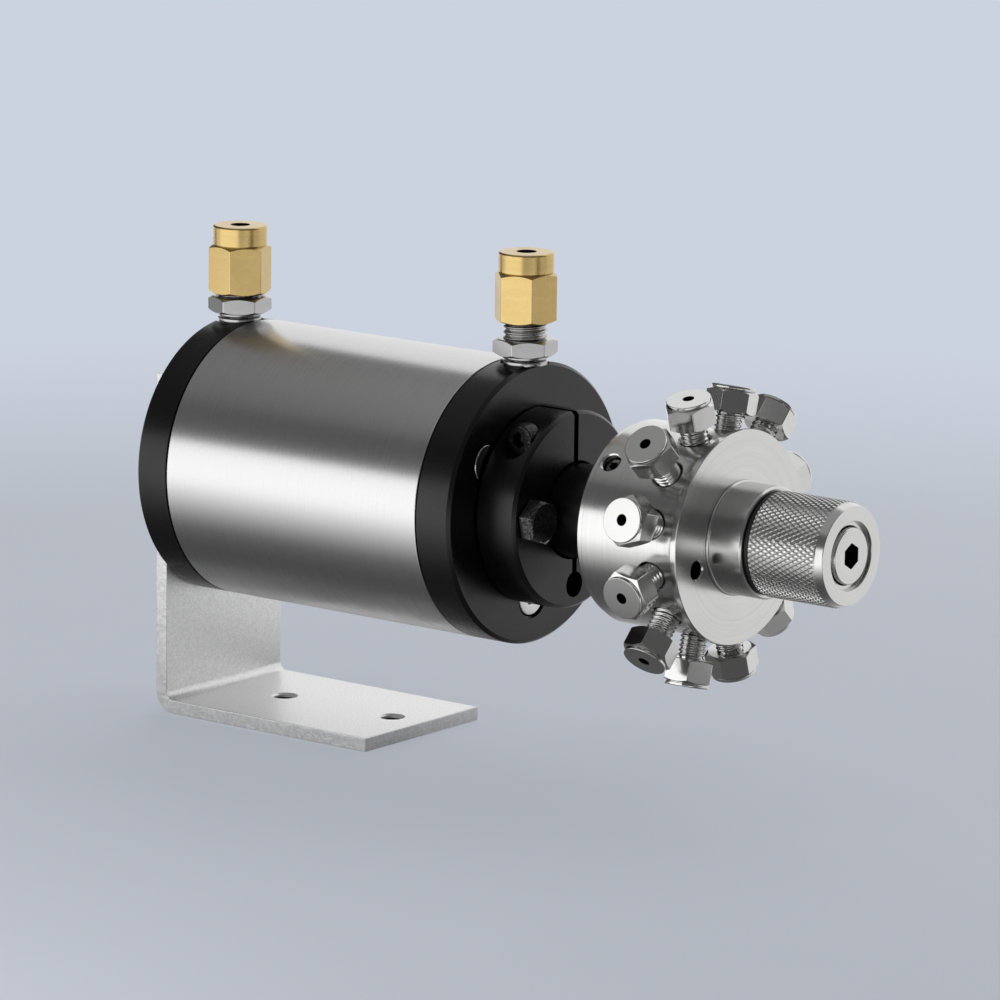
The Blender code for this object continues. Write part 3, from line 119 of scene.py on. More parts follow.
def make_camera():
    back = Vector((
        math.sin(VIEW_AZIMUTH) * math.cos(VIEW_ELEVATION),
        -math.cos(VIEW_AZIMUTH) * math.cos(VIEW_ELEVATION),
        math.sin(VIEW_ELEVATION),
    ))
    level = Vector((math.cos(VIEW_AZIMUTH), math.sin(VIEW_AZIMUTH), 0.0))
    upright = back.cross(level)
    right = level * math.cos(VIEW_ROLL) + upright * math.sin(VIEW_ROLL)
    up = upright * math.cos(VIEW_ROLL) - level * math.sin(VIEW_ROLL)
    aim = Vector((FRONT_CAP_END, 0.0, AXIS_HEIGHT))
    place = aim + right * VIEW_ACROSS + up * VIEW_UP + back * VIEW_DISTANCE
    camera = into_scene("camera", bpy.data.cameras.new("camera"))
    camera.data.lens = VIEW_LENS
    camera.data.clip_start = VIEW_NEAR
    camera.data.clip_end = VIEW_FAR
    turn = Matrix((right, up, back)).transposed().to_4x4()
    camera.matrix_world = Matrix.Translation(place * MM) @ turn
    bpy.context.scene.camera = camera
    print("camera stands at", tuple(round(value) for value in place), "mm")


make_camera()

# %% [markdown]
# Polished metal shows little of its own: it shows the room. So the lamps are soft panels, placed where the
# round parts mirror them: a low box in front, which draws the bright band along each cylinder, a large wall
# behind, which lights the tops, and a dim one overhead. What no panel covers stays dark and draws the dark
# bands.

# %% Lamps and world
WORLD_LEVEL = 0.12
STAGE_MIDDLE = Vector((43.0, 0.0, 46.0))


def softbox(name, place, width, height, radiance, aim=STAGE_MIDDLE):
    """A soft panel that faces its aim. A lamp's power is its radiance times pi times its area."""
    lamp = bpy.data.lights.new(name, "AREA")
    lamp.shape = "RECTANGLE"
    lamp.size = width * MM
    lamp.size_y = height * MM
    lamp.energy = radiance * math.pi * lamp.size * lamp.size_y
    panel = into_scene(name, lamp)
    panel.location = Vector(place) * MM
    panel.rotation_euler = (Vector(aim) - Vector(place)).to_track_quat("-Z", "Z").to_euler()
    panel.visible_camera = False
    print(f"{name}: {width} x {height} mm at radiance {radiance}")


def light_world(level):
    world = bpy.data.worlds.new("dim_grey_room")
    world.use_nodes = True
    world.node_tree.nodes["Background"].inputs["Color"].default_value = (level, level, level, 1.0)
    bpy.context.scene.world = world


light_world(WORLD_LEVEL)
softbox("front_panel", (-125.0, -240.0, 62.0), 510.0, 124.0, 1.65, aim=(-125.0, 0.0, 62.0))
softbox("back_panel", (15.0, 420.0, 400.0), 1100.0, 800.0, 0.95, aim=(15.0, 0.0, 400.0))
softbox("overhead_panel", (40.0, -40.0, 900.0), 1400.0, 1400.0, 0.25)
bpy.context.scene.view_settings.view_transform = "Standard"

# %% [markdown]
# Each finish is built from nodes. Two helpers make that short: one gives a node's inputs their values,
# plain or linked, and one adds a node with its settings. The few nodes that every finish needs then have
# helpers too.

# %% Node helpers
MIX_SOCKETS = {"FLOAT": (2, 3, 0), "RGBA": (6, 7, 2)}  # the Mix node's inputs and output for each kind


def feed(tree, node, values):
    """Gives a node's inputs their values: another node's socket is linked, and a number or colour is set."""
    for name, value in values.items():
        socket = node.inputs[name]
        if isinstance(value, bpy.types.NodeSocket):
            tree.links.new(value, socket)
        elif socket.type == "RGBA":
            socket.default_value = (*value, 1.0)
        else:
            socket.default_value = value


def add_node(tree, kind, values=(), **settings):
    node = tree.nodes.new(f"ShaderNode{kind}")
    for name, setting in settings.items():
        setattr(node, name, setting)
    feed(tree, node, dict(values))
    return node


def math_node(tree, operation, *values):
    return add_node(tree, "Math", dict(enumerate(values)), operation=operation).outputs[0]


def weighed(tree, first, share, second, other_share):
    """The sum of two masks, each times its share."""
    pairs = ((first, share), (second, other_share))
    return math_node(tree, "ADD", *(math_node(tree, "MULTIPLY", mask, part) for mask, part in pairs))


def split_node(tree, vector):
    return add_node(tree, "SeparateXYZ", {0: vector}).outputs


def noise_node(tree, place, scale, detail=2.0, roughness=0.5):
    values = {"Vector": place, "Scale": scale, "Detail": detail, "Roughness": roughness}
    return add_node(tree, "TexNoise", values).outputs["Fac"]


def spread_node(tree, value, low, high, from_low=0.0, from_high=1.0):
    """Maps a mask from one range to another."""
    values = {"Value": value, "From Min": from_low, "From Max": from_high, "To Min": low, "To Max": high}
    return add_node(tree, "MapRange", values).outputs["Result"]


def blend_node(tree, mask, first, second, kind="RGBA"):
    """Mixes two colours, or two masks, by a mask."""
    start, end, result = MIX_SOCKETS[kind]
    return add_node(tree, "Mix", {0: mask, start: first, end: second}, data_type=kind).outputs[result]


def grey(level):
    return level, level, level


def shaded(colour, share):
    return tuple(channel * share for channel in colour)


# %% [markdown]
# Effects that several finishes need are node groups, made once: the fine lines a lathe leaves, a fine
# grain, and the soft smudges of handling. They give masks, and each material mixes them into its own
# colour, roughness and bump. Turned pieces carry their own place as an attribute, so that the lathe's lines
# run round each piece's own axis, whichever way it points.

# %% Lathe lines
OWN_PLACE = "turning_place"
LINE_DRIFT = 0.07  # how much the lines change on the way round
BAND_SCALE = 0.13  # the broad bands between the lines


def new_group(name, numbers, masks):
    """An empty node group that reads a place and some numbers and gives masks, with its two ends."""
    group = bpy.data.node_groups.new(name, "ShaderNodeTree")
    group.interface.new_socket("Place", in_out="INPUT", socket_type="NodeSocketVector")
    for label, value in numbers.items():
        group.interface.new_socket(label, in_out="INPUT", socket_type="NodeSocketFloat").default_value = value
    for label in masks:
        group.interface.new_socket(label, in_out="OUTPUT", socket_type="NodeSocketFloat")
    return group, group.nodes.new("NodeGroupInput").outputs, group.nodes.new("NodeGroupOutput")


def make_lathe_lines():
    """Rings round X: the noise follows the place along the axis and the distance from it."""
    group, start, end = new_group("lathe_lines", {"Lines per mm": 6.0}, ["Line", "Band"])
    x, y, z = split_node(group, start["Place"])
    flat = add_node(group, "CombineXYZ", {"Y": y, "Z": z}).outputs[0]
    distance = add_node(group, "VectorMath", {0: flat}, operation="LENGTH").outputs["Value"]
    fine = add_node(group, "CombineXYZ", {
        "X": math_node(group, "MULTIPLY", x, start["Lines per mm"]),
        "Y": math_node(group, "MULTIPLY", distance, start["Lines per mm"]),
        "Z": math_node(group, "MULTIPLY", math_node(group, "ADD", y, z), LINE_DRIFT),
    }).outputs[0]
    feed(group, end, {
        "Line": noise_node(group, fine, 1.0, 3.0, 0.7), "Band": noise_node(group, fine, BAND_SCALE, 2.0, 0.6),
    })
    return group


# %% Grain and smudges
SMUDGE_SCALE = 0.11


def make_grain():
    """A fine even grain, and sparse bright flecks in it."""
    group, start, end = new_group("grain", {"Grains per mm": 3.0}, ["Grain", "Fleck"])
    values = {0: start["Place"], "Scale": start["Grains per mm"]}
    scaled = add_node(group, "VectorMath", values, operation="SCALE").outputs[0]
    fine = noise_node(group, scaled, 1.0, 3.0, 0.65)
    feed(group, end, {"Grain": fine, "Fleck": spread_node(group, fine, 0.0, 1.0, 0.58, 0.72)})
    return group


def make_smudges():
    """The soft patches that hands and cloths leave, for the roughness."""
    group, start, end = new_group("smudges", {}, ["Smudge"])
    feed(group, end, {"Smudge": noise_node(group, start["Place"], SMUDGE_SCALE, 3.0, 0.6)})
    return group


LATHE_LINES = make_lathe_lines()
GRAIN = make_grain()
SMUDGES = make_smudges()
print("node groups:", [group.name for group in bpy.data.node_groups])

# %% [markdown]
# A material starts from its Principled shader and from the place its patterns read. New pieces read their
# own attribute. Parts of the frame that stay, all hidden inside, read plain object coordinates, turned to
# millimetres.

# %% Starting a material
COMB_TURN = 0.25  # a quarter turn lays the stretched highlights across the lines


def start_material(name, own_place=True):
    """A new material, its tree, its shader, and the socket that gives the place in millimetres."""
    material = bpy.data.materials.new(name)
    material.use_nodes = True
    tree = material.node_tree
    if own_place:
        place = add_node(tree, "Attribute", attribute_name=OWN_PLACE)
    else:
        where = add_node(tree, "TexCoord").outputs["Object"]
        centre = (0.0, 0.0, -AXIS_HEIGHT)
        place = add_node(tree, "Mapping", {"Vector": where, "Location": centre, "Scale": grey(1.0 / MM)})
    return material, tree, tree.nodes["Principled BSDF"], place.outputs["Vector"]


def use_group(tree, group, place, **numbers):
    values = {name.replace("_", " "): number for name, number in numbers.items()}
    return add_node(tree, "Group", {"Place": place, **values}, node_tree=group).outputs


def add_bump(tree, shader, height, depth, strength=0.5):
    """Raises a height of the given depth, in millimetres, on the shader's normal."""
    bump = add_node(tree, "Bump", {"Strength": strength, "Distance": depth * MM, "Height": height})
    feed(tree, shader, {"Normal": bump.outputs["Normal"]})


def comb(tree, shader, amount):
    """Stretches the highlights across lines that run round the valve's axis."""
    tangent = add_node(tree, "Tangent", direction_type="RADIAL", axis="X").outputs["Tangent"]
    feed(tree, shader, {"Anisotropic": amount, "Anisotropic Rotation": COMB_TURN, "Tangent": tangent})


# %% [markdown]
# Turned and polished metals differ only in colour, in how fine their lines are and in how sharply they
# mirror, so one function makes them all. The lines shift the colour a little, roughen it a little, and
# stand in the bump.

# %% Turned metals
def turned_metal(name, colour, roughness, lines, depth, combed=0.0, contrast=0.08, own_place=True):
    material, tree, shader, place = start_material(name, own_place)
    marks = use_group(tree, LATHE_LINES, place, Lines_per_mm=lines)
    smudge = use_group(tree, SMUDGES, place)["Smudge"]
    even = spread_node(tree, weighed(tree, marks["Line"], 0.6, marks["Band"], 0.4), 0.0, 1.0, 0.3, 0.7)
    deep, pale = shaded(colour, 1.0 - contrast), shaded(colour, 1.0 + contrast / 2)
    feed(tree, shader, {
        "Base Color": blend_node(tree, even, deep, pale),
        "Roughness": math_node(tree, "ADD", spread_node(tree, smudge, -0.03, 0.04, 0.3, 0.7), roughness),
        "Metallic": 1.0,
    })
    add_bump(tree, shader, marks["Line"], depth)
    if combed:
        comb(tree, shader, combed)
    return material


STEEL = (0.62, 0.62, 0.615)
BRASS = (0.56, 0.41, 0.17)
turned_stainless = turned_metal("turned_stainless", STEEL, 0.22, 7.0, 0.003, combed=0.4)
polished_stainless = turned_metal("polished_stainless", (0.60, 0.60, 0.595), 0.13, 5.0, 0.003, contrast=0.05)
nickel_plated_brass = turned_metal("nickel_plated_brass", grey(0.43), 0.22, 5.0, 0.003)
satin_brass = turned_metal("satin_brass", BRASS, 0.26, 6.0, 0.005, contrast=0.10)
# Painted shade: a near-black metal for the walls of bores and sockets, where little light reaches.
painted_recess_shade = turned_metal("painted_recess_shade", grey(0.022), 0.45, 6.0, 0.004)
print("turned metals made")

# %% [markdown]
# The tube is brushed: drawn round against a belt, with lines that are longer and deeper than a lathe's.
# They turn one round highlight into a soft band along the tube. Black anodising is a dark glassy skin on
# aluminium, and black oxide on steel is thin and mottled, so the steel glints through it.

# %% Tube, anodised and blackened finishes
def make_brushed_stainless():
    material, tree, shader, place = start_material("brushed_stainless")
    fine = use_group(tree, LATHE_LINES, place, Lines_per_mm=9.0)["Line"]
    coarse = use_group(tree, LATHE_LINES, place, Lines_per_mm=2.6)["Line"]
    lines = weighed(tree, fine, 0.6, coarse, 0.4)
    even = spread_node(tree, lines, 0.0, 1.0, 0.32, 0.68)
    feed(tree, shader, {
        "Base Color": blend_node(tree, even, grey(0.57), grey(0.64)),
        "Roughness": spread_node(tree, even, 0.25, 0.33),
        "Metallic": 1.0,
    })
    add_bump(tree, shader, lines, 0.003)
    comb(tree, shader, 0.6)
    return material


def make_black_anodised():
    material, tree, shader, place = start_material("black_anodised_aluminium")
    line = use_group(tree, LATHE_LINES, place, Lines_per_mm=5.0)["Line"]
    fleck = use_group(tree, GRAIN, place, Grains_per_mm=7.0)["Fleck"]
    smudge = use_group(tree, SMUDGES, place)["Smudge"]
    patches = spread_node(tree, smudge, 0.24, 0.34, 0.3, 0.7)
    feed(tree, shader, {
        "Base Color": blend_node(tree, fleck, grey(0.003), grey(0.009)),
        "Roughness": math_node(tree, "ADD", patches, spread_node(tree, line, -0.03, 0.03, 0.3, 0.7)),
        "Specular IOR Level": 0.4,
    })
    add_bump(tree, shader, line, 0.004, 0.4)
    return material


def make_blackened_steel(name, dark, worn):
    material, tree, shader, place = start_material(name)
    grain = use_group(tree, GRAIN, place, Grains_per_mm=2.2)["Grain"]
    patches = spread_node(tree, grain, 0.0, 1.0, 0.38, 0.66)
    feed(tree, shader, {
        "Base Color": blend_node(tree, patches, dark, worn),
        "Roughness": spread_node(tree, patches, 0.46, 0.26),
        "Metallic": 1.0,
    })
    add_bump(tree, shader, grain, 0.03, 0.4)
    return material


brushed_stainless = make_brushed_stainless()
black_anodised = make_black_anodised()
blackened_steel = make_blackened_steel("blackened_steel", (0.035, 0.035, 0.037), (0.24, 0.24, 0.235))
oiled_black_steel = make_blackened_steel("oiled_black_steel", (0.008, 0.008, 0.009), grey(0.05))
print("black finishes made")

# %% [markdown]
# The bracket is plain aluminium plate with a fine blasted grain. Its sheared edges are rougher than its
# faces: they scatter more light than they mirror and catch it in flecks. They are the faces that look along
# Y, and the foot's end, so a mask of the face's direction and place makes them less metallic and their bump
# stronger.

# %% Bracket plate and rubber
PLATE_EDGE = 0.22  # how wide the soft bevel of the plate's edges is


def make_grained_aluminium():
    material, tree, shader, place = start_material("grained_aluminium")
    grain = use_group(tree, GRAIN, place, Grains_per_mm=2.8)["Grain"]
    coarse = use_group(tree, GRAIN, place, Grains_per_mm=1.2)["Grain"]
    facing = add_node(tree, "NewGeometry").outputs["True Normal"]
    sideways = math_node(tree, "ABSOLUTE", split_node(tree, facing)["Y"])
    long_edge = spread_node(tree, sideways, 0.0, 1.0, 0.6, 0.9)
    _, foot_end = span("mounting_bracket")
    along = split_node(tree, place)["X"]
    short_edge = spread_node(tree, along, 0.0, 1.0, foot_end - PLATE_EDGE, foot_end - PLATE_EDGE / 2)
    edge = math_node(tree, "MAXIMUM", long_edge, short_edge)
    even = spread_node(tree, grain, 0.25, 1.0, 0.36, 0.66)
    torn = spread_node(tree, coarse, 0.5, 1.0, 0.42, 0.60)
    flecks = blend_node(tree, edge, even, torn, "FLOAT")
    feed(tree, shader, {
        "Base Color": blend_node(tree, flecks, grey(0.74), grey(0.97)),
        "Roughness": spread_node(tree, grain, 0.44, 0.30, 0.3, 0.7),
        "Metallic": spread_node(tree, edge, 0.7, 0.4),
    })
    height = weighed(tree, grain, 0.15, math_node(tree, "MULTIPLY", coarse, edge), 3.0)
    add_bump(tree, shader, height, 0.06, 0.7)
    return material


def make_black_rubber(name, own_place=True):
    material, tree, shader, place = start_material(name, own_place)
    grain = use_group(tree, GRAIN, place, Grains_per_mm=5.0)["Grain"]
    feed(tree, shader, {
        "Base Color": blend_node(tree, grain, grey(0.008), grey(0.018)),
        "Roughness": spread_node(tree, grain, 0.45, 0.60, 0.3, 0.7),
    })
    add_bump(tree, shader, grain, 0.01, 0.3)
    return material


grained_aluminium = make_grained_aluminium()
black_rubber = make_black_rubber("black_rubber")
print("plate and rubber made")

# %% [markdown]
# The floor is a plain pale sheet that reaches far past the picture. It belongs to the stage and not to the
# valve. Close to the valve the camera sees it lit and shaded, and further out an even backdrop. In the
# metal it shows painted light and shade: a glowing ramp along Y, with a painted shadow under the valve and
# painted light near the panels. Light Path tells these kinds of ray apart.

# %% Floor
FLOOR_REACH = 3000.0
FLOOR_DROP = 0.02  # just under the foot
FLOOR_COLOUR = (0.74, 0.77, 0.83)
BACKDROP_COLOUR = (0.60, 0.65, 0.74)
BACKDROP_SHARE = 0.45  # how much of the even backdrop the camera sees close to the valve
BACKDROP_NEAR = 230.0
BACKDROP_FAR = 420.0
PAINTED_TABLE_LIGHT = (  # painted light and shadow that the metal sees in the floor, by its Y in millimetres
    (-260.0, 0.7), (-230.0, 1.6), (-180.0, 1.6), (-118.0, 1.15), (-84.0, 0.75), (-50.0, 0.18), (-30.0, 0.10),
    (-4.0, 0.13), (11.0, 0.28), (38.0, 0.45), (60.0, 0.80), (100.0, 1.0), (410.0, 1.0), (425.0, 0.0),
)
PAINTED_TABLE_LIGHT_MOST = 1.6


def emission(tree, colour, strength=1.0):
    return add_node(tree, "Emission", {"Color": colour, "Strength": strength}).outputs[0]


def mix_shaders(tree, *sources):
    """Mixes by the first source, a share, from the second to the third."""
    return add_node(tree, "MixShader", dict(enumerate(sources))).outputs[0]


def painted_table_reflection(tree, place):
    """The floor as the metal sees it: a glowing ramp along Y, with a painted shadow under the valve and
    painted light near the panels.
    """
    first, last = PAINTED_TABLE_LIGHT[0][0], PAINTED_TABLE_LIGHT[-1][0]
    along = spread_node(tree, split_node(tree, place)["Y"], 0.0, 1.0, first, last)
    ramp = add_node(tree, "ValToRGB", {0: along})
    stops = ramp.color_ramp.elements
    while len(stops) < len(PAINTED_TABLE_LIGHT):
        stops.new(0.5)
    for stop, (y, glow) in zip(stops, PAINTED_TABLE_LIGHT):
        stop.position = (y - first) / (last - first)
        stop.color = (*grey(glow / PAINTED_TABLE_LIGHT_MOST), 1.0)
    return emission(tree, ramp.outputs["Color"], PAINTED_TABLE_LIGHT_MOST)


def floor_finish():
    material, tree, shader, place = start_material("pale_floor", own_place=False)
    mottle = spread_node(tree, noise_node(tree, place, 0.02, 3.0), 0.0, 1.0, 0.3, 0.7)
    feed(tree, shader, {
        "Base Color": blend_node(tree, mottle, shaded(FLOOR_COLOUR, 0.98), FLOOR_COLOUR),
        "Roughness": 0.9,
        "Specular IOR Level": 0.1,
    })
    centre = (STAGE_MIDDLE.x, 0.0, -AXIS_HEIGHT - FLOOR_DROP)
    distance = add_node(tree, "VectorMath", {0: place, 1: centre}, operation="DISTANCE").outputs["Value"]
    outer = spread_node(tree, distance, BACKDROP_SHARE, 1.0, BACKDROP_NEAR, BACKDROP_FAR)
    ray = add_node(tree, "LightPath").outputs
    seen_far = math_node(tree, "MULTIPLY", outer, ray["Is Camera Ray"])
    near = mix_shaders(tree, seen_far, shader.outputs[0], emission(tree, BACKDROP_COLOUR))
    # glossy rays see the painted ramp of light and shadow instead of the lit floor
    whole = mix_shaders(tree, ray["Is Glossy Ray"], near, painted_table_reflection(tree, place))
    feed(tree, tree.nodes["Material Output"], {"Surface": whole})
    return material


def as_mesh(name, shape):
    """Makes a mesh of a shape and uses the shape up."""
    mesh = bpy.data.meshes.new(name)
    shape.to_mesh(mesh)
    shape.free()
    return mesh


def make_floor():
    shape = bmesh.new()
    bmesh.ops.create_grid(shape, x_segments=1, y_segments=1, size=FLOOR_REACH)
    bmesh.ops.translate(shape, vec=(0.0, 0.0, -FLOOR_DROP), verts=shape.verts)
    bmesh.ops.scale(shape, vec=(MM, MM, MM), verts=shape.verts)
    floor = into_scene("floor", as_mesh("floor", shape))
    floor.data.materials.append(floor_finish())
    print("floor reaches", FLOOR_REACH, "mm each way")


make_floor()

# %% [markdown]
# A ray that meets a lamp's panel passes on to what lies behind it, so the metal would see panel and floor
# at once. A black card stands behind the front panel, as in a studio, where it is out of the camera's
# sight.

# %% Card behind the front panel
CARD_GAP = 2.0


def make_card():
    panel = bpy.data.objects["front_panel"]
    shape = bmesh.new()
    bmesh.ops.create_grid(shape, x_segments=1, y_segments=1, size=0.5)
    bmesh.ops.scale(shape, vec=(panel.data.size, panel.data.size_y, 1.0), verts=shape.verts)
    bmesh.ops.rotate(shape, matrix=Matrix.Rotation(math.pi / 2, 3, "X"), verts=shape.verts)
    bmesh.ops.translate(shape, vec=panel.location - Y_AXIS * CARD_GAP * MM, verts=shape.verts)
    material, tree, shader, place = start_material("black_card", own_place=False)
    paper = blend_node(tree, noise_node(tree, place, 0.5), grey(0.010), grey(0.016))
    feed(tree, shader, {"Base Color": paper, "Specular IOR Level": 0.0})
    card = into_scene("black_card", as_mesh("black_card", shape))
    card.data.materials.append(material)
    card.visible_camera = False
    print("card stands", CARD_GAP, "mm behind the front panel")


make_card()

# %% [markdown]
# A turned piece starts as half of its own cross-section: a wire of corners beside the X axis. Its corners
# are rounded while it is still a wire, which costs one operator, and a full spin then makes the solid. A
# Boolean drills what isn't round, with cutters that carry the hole's own chamfer. The shape is drawn lying
# along X and only then placed, so that drawing a nut doesn't depend on where it points.

# %% Shape helpers
ROUNDING = 0.12
TURN_STEPS = 96
WELD = 1e-4  # points nearer than this become one


def soften(shape, geometry, width, affect, segments):
    """A round bevel of some points or edges. Only along edges is its width held back by its neighbours."""
    bmesh.ops.bevel(
        shape, geom=geometry, offset=width, offset_type="OFFSET", affect=affect, segments=segments,
        profile=0.5, clamp_overlap=affect == "EDGES", material=-1,
    )


def turned(outline, steps=TURN_STEPS, rounding=ROUNDING):
    """Turns (x, radius) corners about X. A corner's third number is its own rounding."""
    shape = bmesh.new()
    points = [shape.verts.new((corner[0], 0.0, corner[1])) for corner in outline]
    for start, end in zip(points, points[1:]):
        shape.edges.new((start, end))
    if min(corner[1] for corner in outline) > 0.0:
        shape.edges.new((points[-1], points[0]))
    widths = {}
    for corner, point in zip(outline, points):
        width = corner[2] if len(corner) > 2 else rounding
        if width > 0.0 and corner[1] > 0.0:
            widths.setdefault(width, []).append(point)
    for width, rounded in widths.items():
        soften(shape, rounded, width, "VERTICES", 3)
    bmesh.ops.spin(
        shape, geom=shape.verts[:] + shape.edges[:], axis=X_AXIS, angle=math.tau, steps=steps, use_merge=True,
    )
    bmesh.ops.remove_doubles(shape, verts=shape.verts, dist=WELD)
    bmesh.ops.recalc_face_normals(shape, faces=shape.faces)
    return shape


def rod(start, end, radius):
    """The outline of a plain round rod."""
    return [(start, 0.0), (start, radius), (end, radius), (end, 0.0)]


def drill(start, end, radius, steps=32):
    """A plain round rod with sharp edges, for cutting holes."""
    return turned(rod(start, end, radius), steps, 0.0)


def block(low, high):
    """A plain box between two corners, for cutting slits."""
    shape = bmesh.new()
    bmesh.ops.create_cube(shape, size=1.0)
    size = Vector(high) - Vector(low)
    bmesh.ops.scale(shape, vec=size, verts=shape.verts)
    bmesh.ops.translate(shape, vec=Vector(low) + size / 2, verts=shape.verts)
    return shape


def aimed(place=(0.0, 0.0, 0.0), along=X_AXIS, turn=0.0):
    """The matrix that lays a shape drawn along X at a place, along a direction, turned about itself."""
    aim = X_AXIS.rotation_difference(along).to_matrix() @ Matrix.Rotation(turn, 3, "X")
    return Matrix.Translation(Vector(place)) @ aim.to_4x4()


def moved(shape, *where, **how):
    bmesh.ops.transform(shape, matrix=aimed(*where, **how), verts=shape.verts)
    return shape


def on_axis(x):
    return Vector((x, 0.0, AXIS_HEIGHT))


def outward(angle):
    """The direction at an angle round the valve's axis, counted from the near side, -Y, up towards +Z."""
    return Vector((0.0, -math.cos(angle), math.sin(angle)))


# %% Cutting and joining
PLAIN = 0
PAINTED_SHADE = 1  # the material index of faces painted dark as the shade inside a bore or socket
REACH = 1.0  # how far a cutter reaches past the face that it cuts


def paint_shade_inside(cutter, mouth=math.inf):
    """Marks a cutter drawn along X, so that the faces it leaves before the mouth take the painted shade of a
    deep hole.
    """
    for face in cutter.faces:
        if face.calc_center_median().x < mouth:
            face.material_index = PAINTED_SHADE
    return cutter


def as_object(name, shape):
    mesh = as_mesh(name, shape)
    for _ in (PLAIN, PAINTED_SHADE):
        mesh.materials.append(None)
    return into_scene(name, mesh)


def evaluated_mesh(obj):
    """The mesh that an object's modifiers give."""
    graph = bpy.context.evaluated_depsgraph_get()
    return bpy.data.meshes.new_from_object(obj.evaluated_get(graph))


def carve(shape, cutters, operation="DIFFERENCE"):
    """Cuts shapes out of a shape, or joins them to it, with exact Booleans. It uses the shapes up."""
    blank = as_object("blank", shape)
    tools = [as_object("tool", cutter) for cutter in cutters]
    for tool in tools:
        boolean = blank.modifiers.new("carve", "BOOLEAN")
        boolean.operation = operation
        boolean.solver = "EXACT"
        boolean.object = tool
    result = bmesh.new()
    result.from_mesh(evaluated_mesh(blank))
    bmesh.ops.remove_doubles(result, verts=result.verts, dist=WELD)
    for used in [blank, *tools]:
        bpy.data.objects.remove(used)
    return result


def joined(shapes):
    """Several closed shapes as one, each still closed."""
    whole = bmesh.new()
    for shape in shapes:
        mesh = as_mesh("part", shape)
        whole.from_mesh(mesh)
        bpy.data.meshes.remove(mesh)
    return whole


# %% Making a piece of a shape
SHARP_ANGLE = math.radians(38)
pieces = []


def settle(name, node, shape, finish, place=on_axis(0.0), along=X_AXIS, turn=0.0, body="root"):
    """Makes a piece of a shape drawn along X, in its place, riding on its body and standing for its node."""
    mesh = as_mesh(name, shape)
    own = mesh.attributes.new(OWN_PLACE, "FLOAT_VECTOR", "POINT")
    for vertex, entry in zip(mesh.vertices, own.data):
        entry.vector = vertex.co
    mesh.transform(Matrix.Scale(MM, 4) @ aimed(place, along, turn))
    mesh.shade_smooth()
    mesh.set_sharp_from_angle(angle=SHARP_ANGLE)
    mesh.materials.append(finish)
    # faces inside bores and sockets take the painted shade as a second material
    if any(face.material_index == PAINTED_SHADE for face in mesh.polygons):
        mesh.materials.append(painted_recess_shade)
    piece = into_scene(name, mesh)
    piece.modifiers.new("even_faces", "WEIGHTED_NORMAL").keep_sharp = True
    piece.data = evaluated_mesh(piece)
    piece.modifiers.clear()
    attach(piece, body)
    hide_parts(node)
    pieces.append(piece)
    print(f"{name}: {len(piece.data.polygons)} faces")


# %% [markdown]
# The bracket is one strip of plate, bent once. Drawn from the side it is an L of six corners: the two
# corners of the bend are rounded with their own radii, which differ by the plate's thickness, and the face
# is then drawn out to the strip's width. The sheared edges get a small soft bevel.

# %% Bracket
BEND_RADIUS = 1.5
BEND_STEPS = 12
CORNER_ANGLE = math.radians(50)  # edges sharper than this are the plate's own, not steps of the bend
FOOT_HOLE_PITCH = 25.0
FOOT_HOLE_RADIUS = 2.25
FOOT_THREAD_PITCH = 0.7
FOOT_THREAD_DEPTH = 0.35
FOOT_HOLE_GLINT = 0.8  # how deep the hole's wall keeps its own finish; further in it is painted dark as shade
LEG_SCREW_SPREAD = 22.0
ROD_RADIUS = 2.0


def thread_rings(length, pitch, crest, depth):
    """The outline of a threaded hole's cutter, ring beside ring, with a chamfer at each mouth."""
    wide = crest + REACH + depth
    outline = [(-REACH, 0.0), (-REACH, wide), (depth, crest)]
    x = depth
    while x + pitch < length - depth:
        outline += [(x + pitch / 2, crest + depth), (x + pitch, crest)]
        x += pitch
    return outline + [(length - depth, crest), (length + REACH, wide), (length + REACH, 0.0)]


def pair_of_ways(start, end, spread, centre=Vector((0.0, 0.0, 0.0))):
    """The cutters for the holes of two screws, one on each side of a centre."""
    return [
        moved(drill(start, end, ROD_RADIUS + FIT), centre + Y_AXIS * (side * spread / 2))
        for side in (-1, 1)
    ]


def bent_plate(low, high, leg_face, thickness):
    """The plate without its holes, from its side outline."""
    shape = bmesh.new()
    points = [shape.verts.new((x, low.y, z)) for x, z in (
        (high.x, 0.0), (high.x, thickness), (leg_face, thickness), (leg_face, high.z), (low.x, high.z),
        (low.x, 0.0),
    )]
    shape.faces.new(points)
    for point, radius in ((points[2], BEND_RADIUS), (points[5], BEND_RADIUS + thickness)):
        soften(shape, [point], radius, "VERTICES", BEND_STEPS)
    drawn = bmesh.ops.extrude_face_region(shape, geom=shape.faces[:])["geom"]
    far = [item for item in drawn if isinstance(item, bmesh.types.BMVert)]
    bmesh.ops.translate(shape, vec=(0.0, high.y - low.y, 0.0), verts=far)
    bmesh.ops.recalc_face_normals(shape, faces=shape.faces)
    sharp = [edge for edge in shape.edges if edge.calc_face_angle() > CORNER_ANGLE]
    soften(shape, sharp, PLATE_EDGE, "EDGES", 2)
    return shape


